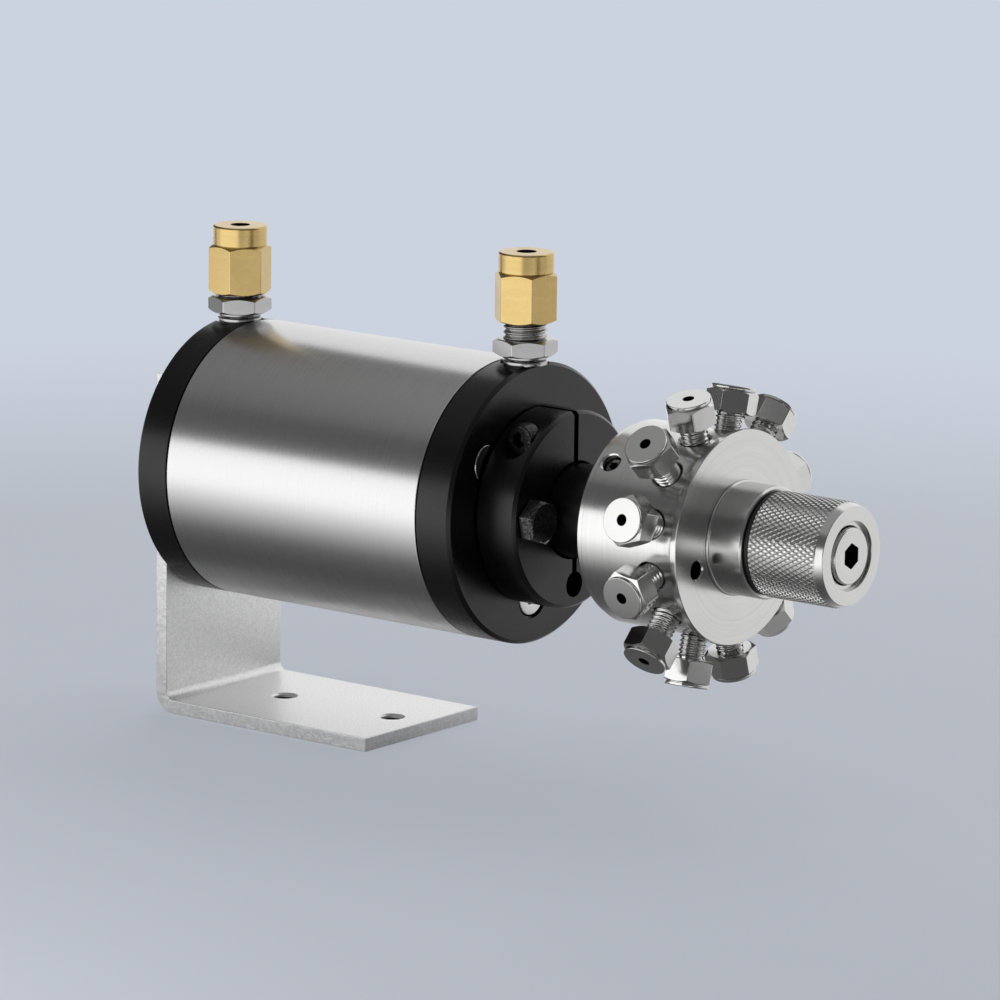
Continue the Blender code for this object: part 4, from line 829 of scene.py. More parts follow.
def make_bracket():
    low, high = corners("mounting_bracket")
    leg_face = REAR_CAP_START - SEAT
    thickness = leg_face - low.x
    crest = FOOT_HOLE_RADIUS - FOOT_THREAD_DEPTH / 2
    holes = []
    for side in (-1, 1):
        thread = turned(thread_rings(thickness, FOOT_THREAD_PITCH, crest, FOOT_THREAD_DEPTH), 48, 0.0)
        paint_shade_inside(thread, thickness - FOOT_HOLE_GLINT)
        holes.append(moved(thread, (side * FOOT_HOLE_PITCH / 2, 0.0, 0.0), Z_AXIS))
    holes += pair_of_ways(-2 * thickness, 2 * thickness, LEG_SCREW_SPREAD, on_axis(low.x))
    shape = carve(bent_plate(low, high, leg_face, thickness), holes)
    settle("bracket_plate", "mounting_bracket", shape, grained_aluminium, (0.0, 0.0, 0.0))


make_bracket()

# %% [markdown]
# Socket screws and hexagon heads repeat all over the valve. The hexagon is a six-step turning with its long
# edges barely rounded, cut by a turned blank: the blank's cones leave the curved edges that each flat has
# in reality.

# %% Screws and hexagons
HEX_EDGE = 0.12
HEX_BLANK = 1.06  # the blank's radius, as a share of the hexagon's corners'
HEX_BLANK_ROUNDING = 0.05
CHAMFER_SHARE = 0.95  # where a hexagon's chamfer starts, as a share of half its flats
CHAMFER_ANGLE = math.radians(30)
KEY_TIP = 0.5  # how deep the drilled cone under a key's socket is, as a share of its radius


def hexagon_bar(start, end, flats):
    """A plain hexagon along X, with a corner at +Z."""
    bar = drill(start, end, flats / math.sqrt(3), 6)
    long_edges = [
        edge for edge in bar.edges
        if abs(edge.verts[0].co.x - edge.verts[1].co.x) > (end - start) / 2 and len(edge.link_faces) == 2
    ]
    soften(bar, long_edges, HEX_EDGE, "EDGES", 2)
    return bar


def hexagon(start, end, flats, ends="both"):
    """A hexagon whose ends are chamfered by a lathe."""
    corner = HEX_BLANK * flats / math.sqrt(3)
    inner = CHAMFER_SHARE * flats / 2
    drop = (corner - inner) * math.tan(CHAMFER_ANGLE)
    near = [(start, corner, 0.0)] if ends == "far" else [(start, inner), (start + drop, corner, 0.0)]
    blank = [(start, 0.0), *near, (end - drop, corner, 0.0), (end, inner), (end, 0.0)]
    bar = hexagon_bar(start - REACH, end + REACH, flats)
    return carve(bar, [turned(blank, TURN_STEPS, HEX_BLANK_ROUNDING)], "INTERSECT")


def key_socket(face, depth, flats, way=1, tip=KEY_TIP):
    """The cutter for a hexagon key's socket in a face that looks along +X, or along -X with way -1."""
    corner = flats / math.sqrt(3)
    mouth, floor = face + way * REACH, face - way * depth
    outline = [(mouth, 0.0), (mouth, corner), (floor, corner), (floor - way * corner * tip, 0.0)]
    # the socket's walls take the painted shade
    return paint_shade_inside(turned(outline, 6, 0.0))


def socket_screw(length, head_height, head_radius, radius, socket, depth):
    """A socket head screw: its head lies before x = 0 and its shank after it."""
    grip = length - head_height
    blank = turned([
        (-head_height, 0.0), (-head_height, head_radius, 0.25), (0.0, head_radius, 0.1), (0.0, radius, 0.0),
        (grip, radius, 0.3), (grip, 0.0),
    ], 64)
    return carve(blank, [key_socket(-head_height, depth, socket, -1)])


# %% Bracket screws, tie rods and clamp screw
LEG_SCREW = {"head_height": 2.4, "head_radius": 3.5, "radius": ROD_RADIUS, "socket": 2.4, "depth": 1.3}
TIE_ROD = {"head_height": 4.0, "head_radius": 3.5, "radius": ROD_RADIUS, "socket": 3.0, "depth": 2.2}
CLAMP_SCREW = {"head_height": 3.0, "head_radius": 2.75, "radius": 1.5, "socket": 2.5, "depth": 2.2}


def place_socket_screw(name, node, along, finish, sizes):
    """Sets a socket head screw where its node is, with its head against the direction it is driven in."""
    low, high = corners(node)
    length = abs((high - low).dot(along))
    start = (low + high) / 2 - along * (length / 2 - sizes["head_height"])
    settle(name, node, socket_screw(length, **sizes), finish, start, along)


for number in (1, 2):
    place_socket_screw(f"leg_screw_{number}", f"bracket_screw_{number}", X_AXIS, oiled_black_steel, LEG_SCREW)
for number in (1, 2, 3):
    place_socket_screw(f"long_rod_{number}", f"tie_rod_{number}", -X_AXIS, polished_stainless, TIE_ROD)
place_socket_screw("ring_screw", "clamp_screw", Y_AXIS, oiled_black_steel, CLAMP_SCREW)

# %% [markdown]
# The air cylinder is a tube between two caps. Each cap enters the tube with a spigot, and its shoulder
# closes the tube's end. On top of each cap a round flat seat is milled for the air fitting. The caps'
# outlines carry a wide chamfer at the free end, which draws the fine bright line round each cap.

# %% Cylinder caps and tube
CAP_CHAMFER = 0.6
TUBE_WALL = 2.0
SPIGOT_RADIUS = CYLINDER_RADIUS - TUBE_WALL - FIT
BUSH_BORE = 7.8
REAR_BUSH_DEPTH = 7.1
TIE_ROD_DEPTH = 10.0
LEG_SCREW_DEPTH = 4.0
AIR_SEAT_HEIGHT = 24.4
AIR_SEAT_RADIUS = 4.4
AIR_POCKET_RADIUS = 2.6
AIR_POCKET_DEPTH = 7.0
CAP_STEPS = 160


def air_seat(node):
    """The cutter for an air fitting's flat seat and pocket, under the washer that lies on it."""
    pocket = rod(AIR_SEAT_HEIGHT - AIR_POCKET_DEPTH, AIR_SEAT_HEIGHT, AIR_POCKET_RADIUS)
    seat = rod(AIR_SEAT_HEIGHT, 2 * AIR_SEAT_HEIGHT, AIR_SEAT_RADIUS)
    cutter = turned(pocket[:3] + seat[1:], 64, 0.0)
    return moved(cutter, (middle(node).x, 0.0, 0.0), Z_AXIS)


def rod_places():
    """Where the tie rods lie, seen from the valve's axis."""
    return [middle(f"tie_rod_{number}") - on_axis(middle(f"tie_rod_{number}").x) for number in (1, 2, 3)]


def make_rear_cap():
    start, shoulder, end = REAR_CAP_START, TUBE_START - SEAT, REAR_CAP_END
    shape = turned([
        (start, 0.0), (start, CYLINDER_RADIUS - CAP_CHAMFER, 0.08),
        (start + CAP_CHAMFER, CYLINDER_RADIUS, 0.08), (shoulder, CYLINDER_RADIUS, 0.15),
        (shoulder, SPIGOT_RADIUS, 0.0), (end, SPIGOT_RADIUS, 0.3), (end, 0.0),
    ], CAP_STEPS)
    cutters = [drill(end - REAR_BUSH_DEPTH, end + REACH, BUSH_BORE, 64), air_seat("rear_air_washer")]
    for place in rod_places():
        cutters.append(moved(drill(end - TIE_ROD_DEPTH, end + REACH, ROD_RADIUS + FIT), place))
    cutters += pair_of_ways(start - REACH, start + LEG_SCREW_DEPTH, LEG_SCREW_SPREAD)
    settle("rear_cover", "rear_cap", carve(shape, cutters), black_anodised)


def make_tube():
    inner = CYLINDER_RADIUS - TUBE_WALL
    shape = turned([
        (TUBE_START, inner), (TUBE_START, CYLINDER_RADIUS, 0.2), (TUBE_END, CYLINDER_RADIUS, 0.2),
        (TUBE_END, inner),
    ], CAP_STEPS)
    settle("outer_tube", "cylinder_tube", shape, brushed_stainless)


make_rear_cap()
make_tube()

# %% [markdown]
# The front cap also holds the tie rods' sunk heads, the two bolts of the clamp ring and the shaft's bush.
# Each counterbore's cutter is turned with its mouth flared, so the cut leaves the small chamfer that
# glints.

# %% Front cap
SHAFT_BORE = 5.3
FRONT_WEB = 1.5  # the wall behind the bush, which only the shaft passes
HEAD_WAY_RADIUS = 3.7
HEAD_WAY_DEPTH = 4.5
CLAMP_BOLT_SPREAD = 25.0
CLAMP_BOLT_DEPTH = 6.0
MOUTH = 0.3


def flared_way(face, depth, radius, flare=MOUTH):
    """A cutter's outline for a hole that opens towards +X at a face, with its mouth chamfered."""
    return [
        (face - depth, 0.0), (face - depth, radius), (face - flare, radius),
        (face + REACH, radius + flare + REACH), (face + REACH, 0.0),
    ]


def make_front_cap():
    start, shoulder, face = FRONT_CAP_START, TUBE_END + SEAT, FRONT_CAP_END
    shape = turned([
        (start, 0.0), (start, SPIGOT_RADIUS, 0.3), (shoulder, SPIGOT_RADIUS, 0.0),
        (shoulder, CYLINDER_RADIUS, 0.15), (face - CAP_CHAMFER, CYLINDER_RADIUS, 0.08),
        (face, CYLINDER_RADIUS - CAP_CHAMFER, 0.08), (face, 0.0),
    ], CAP_STEPS)
    back, web = start - REACH, start + FRONT_WEB
    shaft_way = [(back, 0.0), (back, SHAFT_BORE), (web, SHAFT_BORE), *rod(web, face + REACH, BUSH_BORE)[1:]]
    rod_way = [(back, 0.0), (back, ROD_RADIUS + FIT), (face - HEAD_WAY_DEPTH, ROD_RADIUS + FIT)]
    rod_way += flared_way(face, HEAD_WAY_DEPTH, HEAD_WAY_RADIUS)[1:]
    cutters = [turned(shaft_way, 64, 0.0), air_seat("front_air_washer")]
    cutters += [moved(turned(rod_way, 64, 0.0), place) for place in rod_places()]
    cutters += pair_of_ways(face - CLAMP_BOLT_DEPTH, face + REACH, CLAMP_BOLT_SPREAD)
    settle("front_cover", "front_cap", carve(shape, cutters), black_anodised)


make_front_cap()

# %% [markdown]
# The clamp ring grips the valve's black neck. It is turned, then sawn: a narrow slit above, and one below
# that ends in a round relief, so that it can spring shut when the screw across the top is drawn up.

# %% Clamp ring, its bolts and the neck
RING_RADIUS = 17.5
RING_BORE = 8.6
SLIT = 1.3
RELIEF_RADIUS = 2.3
RELIEF_DROP = 13.3
BOLT_FLATS = 7.0
BOLT_TURN = math.radians(12)
BOLT_OVERLAP = 0.5  # how far the shank runs into the head
NECK_RADIUS = 8.3
NECK_STUB_RADIUS = 6.9


def make_clamp_ring():
    start, end = RING_START, RING_END
    shape = turned([
        (start, RING_BORE), (start, RING_RADIUS, 0.2), (end - CAP_CHAMFER, RING_RADIUS, 0.08),
        (end, RING_RADIUS - CAP_CHAMFER, 0.08), (end, RING_BORE, 0.2),
    ], CAP_STEPS)
    before, after = start - REACH, end + REACH
    cutters = [
        block((before, -SLIT / 2, 0.0), (after, SLIT / 2, 2 * RING_RADIUS)),
        block((before, -SLIT / 2, -RELIEF_DROP), (after, SLIT / 2, 0.0)),
        moved(drill(before, after, RELIEF_RADIUS, 64), (0.0, 0.0, -RELIEF_DROP)),
        *pair_of_ways(before, after, CLAMP_BOLT_SPREAD),
    ]
    centre = middle("clamp_screw") - on_axis(0.0)
    seat = corners("clamp_screw")[0].y + CLAMP_SCREW["head_height"] + SEAT
    head_way, way = CLAMP_SCREW["head_radius"] + FIT, CLAMP_SCREW["radius"] + FIT
    screw_way = rod(-2 * RING_RADIUS, seat, head_way)[:3] + rod(seat, -seat, way)[1:]
    cutters.append(moved(turned(screw_way, 48, 0.0), (centre.x, 0.0, centre.z), Y_AXIS))
    settle("split_ring", "clamp_ring", carve(shape, cutters), black_anodised)


def make_clamp_bolts():
    for number, side in ((1, -1), (2, 1)):
        node = f"clamp_bolt_{number}"
        start, end = span(node)
        face = RING_END + FIT
        under = face + BOLT_OVERLAP
        shank = turned([(start, 0.0), (start, ROD_RADIUS, 0.3), (under, ROD_RADIUS), (under, 0.0)], 48)
        bolt = carve(hexagon(face, end, BOLT_FLATS, "far"), [shank], "UNION")
        place = on_axis(0.0) + Y_AXIS * side * CLAMP_BOLT_SPREAD / 2
        settle(f"ring_bolt_{number}", node, bolt, blackened_steel, place, turn=BOLT_TURN)


def make_neck():
    shoulder = BODY_START - SEAT
    shape = turned([
        (COLLAR_START, SHAFT_BORE), (COLLAR_START, NECK_RADIUS, 0.2), (shoulder, NECK_RADIUS, 0.1),
        (shoulder, NECK_STUB_RADIUS, 0.0), (COLLAR_END, NECK_STUB_RADIUS, 0.3), (COLLAR_END, SHAFT_BORE),
    ])
    settle("neck", "valve_collar", shape, black_anodised)


make_clamp_ring()
make_clamp_bolts()
make_neck()

# %% [markdown]
# The valve body is one turning: a narrow band at the back, a thin groove, the cylinder that the ports
# enter, a cove that sweeps up to the flange, and the flange with its thin lip. The cove is a quarter of an
# ellipse.

# %% Valve body
BODY_RADIUS = 17.9
BAND_RADIUS = 17.3
BAND_LENGTH = 1.6
BAND_GROOVE = 0.25
BAND_GROOVE_WIDTH = 0.2
FLANGE_RADIUS = 18.73
FLANGE_THICKNESS = 1.2
FLANGE_LIP = 0.25
COVE_LENGTH = 2.2
COVE_STEPS = 8
NECK_BORE_DEPTH = 5.4
STEM_BORE = 3.3
ROTOR_STEM = 3.1
TAPER_START = corners("valve_rotor")[0].x + ROTOR_STEM
TAPER_SMALL = 3.6
TAPER_LARGE = 5.1
STUB_RADIUS = 6.8
RECESS_DEPTH = 2.6


def body_outline():
    start, end = BODY_START, BODY_END
    flange, groove = end - FLANGE_THICKNESS, start + BAND_LENGTH
    rise = FLANGE_RADIUS - FLANGE_LIP - BODY_RADIUS
    cove = []
    for step in range(COVE_STEPS + 1):
        angle = math.pi / 2 * step / COVE_STEPS
        x = flange - COVE_LENGTH + COVE_LENGTH * math.sin(angle)
        cove.append((x, BODY_RADIUS + rise * (1.0 - math.cos(angle)), 0.0))
    sunk = BAND_RADIUS - BAND_GROOVE
    return [
        (start, 0.0), (start, BAND_RADIUS - CAP_CHAMFER, 0.1), (start + CAP_CHAMFER, BAND_RADIUS, 0.1),
        (groove, BAND_RADIUS, 0.05), (groove, sunk, 0.0), (groove + BAND_GROOVE_WIDTH, sunk, 0.0),
        (groove + BAND_GROOVE, BODY_RADIUS, 0.12),
        *cove, (flange, FLANGE_RADIUS, 0.08), (end, FLANGE_RADIUS, 0.15), (end, 0.0),
    ]


def body_bore():
    """The valve body's stepped bore: neck, stem, the rotor's taper, and the nose's stub."""
    neck, pocket = BODY_START + NECK_BORE_DEPTH, BODY_END - RECESS_DEPTH
    neck_bore = rod(BODY_START - REACH, neck, NECK_STUB_RADIUS + FIT)[:3]
    stem_bore = [(neck, STEM_BORE), (TAPER_START, STEM_BORE)]
    taper = [(TAPER_START, TAPER_SMALL), (pocket, TAPER_LARGE)]
    stub_bore = rod(pocket, BODY_END + REACH, STUB_RADIUS + FIT)[1:]
    return turned(neck_bore + stem_bore + taper + stub_bore, 64, 0.0)


# %% Ports and holes of the valve body
PORT_COUNT = 12
PORT_FIRST_ANGLE = math.radians(73.65)
PORT_X = middle("port_nut_01").x
PORT_RADIUS = 2.62
PORT_DEPTH = 6.9
PORT_MOUTH = 0.45
SPANNER_CIRCLE = 13.0
SPANNER_RADIUS = 1.6
SPANNER_DEPTH = 2.6
SPANNER_MOUTH = 0.25
SPANNER_GLINT = 0.8  # how deep the hole's wall keeps its own finish; further in it is painted dark as shade
SPANNER_ANGLE = math.radians(-17)
SET_SCREW_ANGLE = math.radians(45)
SET_SCREW_X = middle("collar_set_screw").x
SET_SCREW_RADIUS = 1.5
SET_SCREW_SOCKET = 1.5
SET_SCREW_SINK = 1.2  # how far it is screwed in under the body's surface


def port_angle(index):
    return PORT_FIRST_ANGLE - index * math.tau / PORT_COUNT


def make_valve_body():
    cutters = [body_bore()]
    for index in range(PORT_COUNT):
        way = turned(flared_way(BODY_RADIUS, PORT_DEPTH, PORT_RADIUS, PORT_MOUTH), 48, 0.0)
        cutters.append(moved(way, (PORT_X, 0.0, 0.0), outward(port_angle(index))))
    for index in range(2):
        glint = BODY_END - SPANNER_GLINT
        hole = flared_way(BODY_END, SPANNER_DEPTH, SPANNER_RADIUS, SPANNER_MOUTH)
        hole.insert(2, (glint, SPANNER_RADIUS))
        place = outward(SPANNER_ANGLE + index * math.pi) * SPANNER_CIRCLE
        cutters.append(moved(paint_shade_inside(turned(hole, 48, 0.0), glint), place))
    way = turned(flared_way(BODY_RADIUS, BODY_RADIUS - NECK_STUB_RADIUS, SET_SCREW_RADIUS + FIT), 48, 0.0)
    cutters.append(moved(way, (SET_SCREW_X, 0.0, 0.0), outward(SET_SCREW_ANGLE)))
    settle("port_body", "valve_body", carve(turned(body_outline(), CAP_STEPS), cutters), turned_stainless)


def make_set_screw():
    inner, outer, radius = NECK_STUB_RADIUS + FIT, BODY_RADIUS - SET_SCREW_SINK, SET_SCREW_RADIUS
    blank = turned([(inner, 0.0), (inner, radius), (outer, radius, 0.2), (outer, 0.0)], 48)
    screw = carve(blank, [key_socket(outer, SET_SCREW_SOCKET, SET_SCREW_SOCKET, tip=0.0)])
    place = on_axis(SET_SCREW_X)
    settle("neck_set_screw", "collar_set_screw", screw, blackened_steel, place, outward(SET_SCREW_ANGLE))


make_valve_body()
make_set_screw()

# %% [markdown]
# A thread is a real helix here, and it costs one spin. Its section is a closed loop, a wave of teeth
# outside and a plain line inside, and it advances by one pitch on its way round, so each tooth meets the
# next one. Merging closes the seam, and the two ends are filled. The twelve nuts are one shape, placed
# twelve times: a hexagon, a round rim with a fine groove under it, a bore with a chamfered mouth, and the
# threaded shank with the ferrule's cone at its tip.

# %% Threads
THREAD_POINTS = 12  # points on each tooth's wave
THREAD_WELD = 1e-3


def close_ends(shape):
    """Fills the open ends of a shape and turns all its faces outwards."""
    ends = [edge for edge in shape.edges if len(edge.link_faces) == 1]
    bmesh.ops.holes_fill(shape, edges=ends, sides=0)
    bmesh.ops.recalc_face_normals(shape, faces=shape.faces)


def helix(start, end, bore, root, crest, pitch, steps=36):
    """A closed threaded tube from start to about end, with the rounded teeth of a rolled thread."""
    turns = round((end - start) / pitch)
    outline = []
    for index in range(turns * THREAD_POINTS + 1):
        wave = (1.0 - math.cos(math.tau * index / THREAD_POINTS)) / 2
        outline.append((start + index * pitch / THREAD_POINTS, root + (crest - root) * wave))
    outline += [(start + turn * pitch, bore) for turn in range(turns, -1, -1)]
    shape = bmesh.new()
    points = [shape.verts.new((x, 0.0, radius)) for x, radius in outline]
    for near, far in zip(points, points[1:] + points[:1]):
        shape.edges.new((near, far))
    bmesh.ops.spin(
        shape, geom=shape.verts[:] + shape.edges[:], axis=X_AXIS, angle=math.tau, steps=steps,
        dvec=X_AXIS * pitch / steps,
    )
    bmesh.ops.remove_doubles(shape, verts=shape.verts, dist=THREAD_WELD)
    close_ends(shape)
    return shape


# %% Port nuts
NUT_PITCH = 0.794
NUT_FACE = 26.4
NUT_RIM = 0.7
NUT_RIM_RADIUS = 3.875
NUT_GROOVE = 0.25
NUT_GROOVE_WIDTH = 0.12
NUT_HEX = 4.1
NUT_FLATS = 8.0
NUT_TIP = 10.3
NUT_TIP_RADIUS = 1.1
NUT_CONE = 1.8
NUT_OVERLAP = 0.2  # how far the shank runs into the hexagon
NUT_SHANK_RADIUS = 2.4
NUT_CORE_RADIUS = 2.0
NUT_THREAD_START = 12.5
NUT_THREAD_ROOT = 2.1
NUT_THREAD_BORE = 1.6
NUT_BORE = 0.925
NUT_BORE_DEPTH = 4.6
NUT_MOUTH = 0.1
NUT_PROUD = (-0.9, 0.3, 0.0, 0.0, 0.6, 0.4, 0.8, 0.4, 0.0, -0.9, 0.5, -0.8)
NUT_TURNS = (28, 58, 37, 34, 31, 42, 33, 50, 14, 12, 57, 30)  # degrees


def port_nut_shape():
    rim = NUT_FACE - NUT_RIM
    underside = rim - NUT_HEX
    groove = rim + NUT_GROOVE_WIDTH
    sunk = NUT_RIM_RADIUS - NUT_GROOVE
    cap = turned([
        (rim - REACH, 0.0), (rim - REACH, sunk, 0.0), (groove, sunk, 0.0), (groove, NUT_RIM_RADIUS, 0.05),
        (NUT_FACE, NUT_RIM_RADIUS, 0.15), (NUT_FACE, 0.0),
    ], 72)
    head = carve(hexagon(underside, rim, NUT_FLATS), [cap], "UNION")
    head = carve(head, [paint_shade_inside(turned(flared_way(NUT_FACE, NUT_BORE_DEPTH, NUT_BORE, NUT_MOUTH), 48, 0.0))])
    top = underside + NUT_OVERLAP
    tip = turned([
        (NUT_TIP, 0.0), (NUT_TIP, NUT_TIP_RADIUS), *rod(NUT_TIP + NUT_CONE, top, NUT_CORE_RADIUS)[1:],
    ], 48)
    thread = helix(NUT_THREAD_START, underside, NUT_THREAD_BORE, NUT_THREAD_ROOT, NUT_SHANK_RADIUS, NUT_PITCH)
    return joined([head, tip, thread])


def make_port_nuts():
    nut = port_nut_shape()
    for index in range(PORT_COUNT):
        number = f"{index + 1:02d}"
        way = outward(port_angle(index))
        place = on_axis(PORT_X) + way * NUT_PROUD[index]
        turn = math.radians(NUT_TURNS[index])
        settle(f"tube_nut_{number}", f"port_nut_{number}", nut.copy(), polished_stainless, place, way, turn)
    nut.free()


make_port_nuts()

# %% [markdown]
# The nose holds the spring that loads the rotor. A thin ring at its base and a chamfer at its end draw two
# bright lines. Behind the sleeve its stub, turned plain here, stands for the thread that the sleeve climbs
# when it is undone.

# %% Nose and gap ring
NOSE_RADIUS = 9.8
NOSE_CHAMFER = 0.3
NOSE_GAP = 0.04  # the fine dark line where the nose meets the flange
NOSE_RING = 0.3  # how far the thin ring stands out
NOSE_RING_LENGTH = 0.4
NOSE_RING_SLOPE = 0.1
NOSE_LENGTH = 6.8
NOSE_STEPS = 128
STUB_BORE = 5.6
STUB_CORE_RADIUS = 6.4
NOSE_START = BODY_END + SEAT
NOSE_END = NOSE_START + NOSE_LENGTH
KEYWAY = 0.95  # half the width of the slot that keeps the spring's seat from turning
KEYWAY_TOP = 6.3
GAP_RING_BORE = 7.0
GAP_RING_RADIUS = 9.0
GAP_RING_PRESS = 0.1  # how far the soft ring is squeezed at each side


def make_nose():
    rear, stub_end = span("preload_housing")
    base = BODY_END + NOSE_GAP
    ring, proud = base + NOSE_RING_LENGTH, NOSE_RADIUS + NOSE_RING
    shape = turned([
        (rear, STUB_BORE), (rear, STUB_RADIUS), (base, STUB_RADIUS, 0.0), (base, proud, 0.05),
        (ring, proud, 0.12), (ring + NOSE_RING_SLOPE, NOSE_RADIUS, 0.0),
        (NOSE_END - NOSE_CHAMFER, NOSE_RADIUS, 0.05), (NOSE_END, NOSE_RADIUS - NOSE_CHAMFER, 0.05),
        (NOSE_END, STUB_CORE_RADIUS, 0.0), (stub_end, STUB_CORE_RADIUS, 0.2), (stub_end, STUB_BORE, 0.1),
    ], NOSE_STEPS)
    shape = carve(shape, [block((NOSE_START, -KEYWAY, 0.0), (SLEEVE_END, KEYWAY, KEYWAY_TOP))])
    settle("spring_housing", "preload_housing", shape, turned_stainless)


def make_gap_ring():
    start, end = span("sleeve_gap_ring")
    start -= GAP_RING_PRESS
    end += GAP_RING_PRESS
    shape = turned([
        (start, GAP_RING_BORE), (start, GAP_RING_RADIUS, 0.15), (end, GAP_RING_RADIUS, 0.15),
        (end, GAP_RING_BORE),
    ], NOSE_STEPS)
    settle("dust_ring", "sleeve_gap_ring", shape, black_rubber, body="cap_ring")


make_nose()
make_gap_ring()

# %% [markdown]
# The sleeve's grip is a real diamond knurl. One diamond is a small pyramid with its tip cut off. A spin
# with copies lays a ring of them round the sleeve, and each next ring is turned by half a diamond, so their
# edges meet and weld to one skin. The knurled rod is then cut by the sleeve's own turned outline, which
# leaves the zigzag where the pattern runs out into the smooth end, as on a real sleeve.

# %% Diamond knurl
SLEEVE_RADIUS = 9.2
KNURL_AROUND = 63
KNURL_LENGTH = 1.6
KNURL_DEPTH = 0.25
KNURL_FLANK = 0.19  # how wide a diamond's sloping side is, seen from above
KNURL_WELD = 0.02


def knurl_ring(x, turn):
    """One ring of diamonds round X, each a low pyramid with its tip cut off."""
    shape = bmesh.new()
    floor = SLEEVE_RADIUS - KNURL_DEPTH
    half = math.pi / KNURL_AROUND
    base = [(x - KNURL_LENGTH / 2, 0.0), (x, -half), (x + KNURL_LENGTH / 2, 0.0), (x, half)]
    points = [shape.verts.new((px, floor * math.sin(angle), floor * math.cos(angle))) for px, angle in base]
    diamond = shape.faces.new(points)
    diamond.normal_update()
    bmesh.ops.inset_individual(shape, faces=[diamond], thickness=KNURL_FLANK, use_even_offset=True)
    bmesh.ops.translate(shape, vec=(0.0, 0.0, KNURL_DEPTH), verts=diamond.verts)
    bmesh.ops.rotate(shape, matrix=Matrix.Rotation(turn, 3, "X"), verts=shape.verts)
    copies = KNURL_AROUND - 1
    bmesh.ops.spin(
        shape, geom=shape.faces[:] + shape.edges[:] + shape.verts[:], axis=X_AXIS,
        angle=math.tau * copies / KNURL_AROUND, steps=copies, use_duplicate=True,
    )
    return shape


def knurled_rod(start, end):
    """Rings of diamonds that weld to one skin, cut straight and closed at both ends."""
    rings = []
    for index in range(math.ceil((end - start) / (KNURL_LENGTH / 2)) + 3):
        place = start + (index - 1) * KNURL_LENGTH / 2
        rings.append(knurl_ring(place, math.pi / KNURL_AROUND * (index % 2)))
    shape = joined(rings)
    bmesh.ops.remove_doubles(shape, verts=shape.verts, dist=KNURL_WELD)
    for x, way in ((start, -1.0), (end, 1.0)):
        bmesh.ops.bisect_plane(
            shape, geom=shape.verts[:] + shape.edges[:] + shape.faces[:], plane_co=(x, 0.0, 0.0),
            plane_no=(way, 0.0, 0.0), clear_outer=True,
        )
    close_ends(shape)
    return shape


# %% Sleeve and adjuster
KNURL_BEFORE, KNURL_AFTER = 0.31, 0.37  # uneven, so that no diamond's edge lies in the sleeve's end faces
SLEEVE_PROUD = 0.05  # the outline passes over the diamonds' tops
SLEEVE_LEAD = 0.2
SLEEVE_LEAD_DROP = 0.15
SLEEVE_SLOPE_START = 1.9  # these two are counted back from the sleeve's end
SLEEVE_BAND_START = 1.35
SLEEVE_BAND_DROP = 0.26
SLEEVE_END_DROP = 0.6
SLEEVE_BORE = STUB_RADIUS + SEAT
SLEEVE_RECESS_RADIUS = 6.0
SLEEVE_RECESS_DEPTH = 0.9
ADJUSTER_RADIUS = 4.95
ADJUSTER_PIN_RADIUS = 2.0
ADJUSTER_FLANGE_RADIUS = 6.6
ADJUSTER_FLANGE_THICKNESS = 1.4
ADJUSTER_START, ADJUSTER_END = span("preload_adjuster")
ADJUSTER_PIN_LENGTH = 9.8
ADJUSTER_FLANGE = ADJUSTER_START + ADJUSTER_PIN_LENGTH
ADJUSTER_SOCKET = 4.0
ADJUSTER_SOCKET_DEPTH = 4.0


def make_sleeve():
    start, end = SLEEVE_START, SLEEVE_END
    top, floor = SLEEVE_RADIUS + SLEEVE_PROUD, end - SLEEVE_RECESS_DEPTH
    step = ADJUSTER_FLANGE + ADJUSTER_FLANGE_THICKNESS + SEAT
    blank = turned([
        (start, SLEEVE_BORE), (start, SLEEVE_RADIUS - SLEEVE_LEAD_DROP, 0.0), (start + SLEEVE_LEAD, top, 0.0),
        (end - SLEEVE_SLOPE_START, top, 0.0),
        (end - SLEEVE_BAND_START, SLEEVE_RADIUS - SLEEVE_BAND_DROP, 0.0),
        (end, SLEEVE_RADIUS - SLEEVE_END_DROP, 0.12), (end, SLEEVE_RECESS_RADIUS, 0.15),
        (floor, SLEEVE_RECESS_RADIUS, 0.0), (floor, ADJUSTER_RADIUS + FIT, 0.1),
        (step, ADJUSTER_RADIUS + FIT, 0.0), (step, SLEEVE_BORE, 0.0),
    ], NOSE_STEPS)
    shape = carve(knurled_rod(start - KNURL_BEFORE, end + KNURL_AFTER), [blank], "INTERSECT")
    settle("grip_sleeve", "knurled_sleeve", shape, turned_stainless, body="sleeve")


def make_adjuster():
    start, end, flange = ADJUSTER_START, ADJUSTER_END, ADJUSTER_FLANGE
    front = flange + ADJUSTER_FLANGE_THICKNESS
    blank = turned([
        (start, 0.0), (start, ADJUSTER_PIN_RADIUS, 0.3), (flange, ADJUSTER_PIN_RADIUS, 0.0),
        (flange, ADJUSTER_FLANGE_RADIUS), (front, ADJUSTER_FLANGE_RADIUS), (front, ADJUSTER_RADIUS, 0.0),
        (end, ADJUSTER_RADIUS, 0.3), (end, 0.0),
    ])
    shape = carve(blank, [key_socket(end, ADJUSTER_SOCKET_DEPTH, ADJUSTER_SOCKET)])
    settle("load_adjuster", "preload_adjuster", shape, turned_stainless, body="adjuster")


make_sleeve()
make_adjuster()

# %% [markdown]
# Each air fitting stands on its cap: a washer, a steel body with a hexagon and a thread, and a brass nut
# that holds the air tube. The front nut sits higher, so three turns of its thread show.

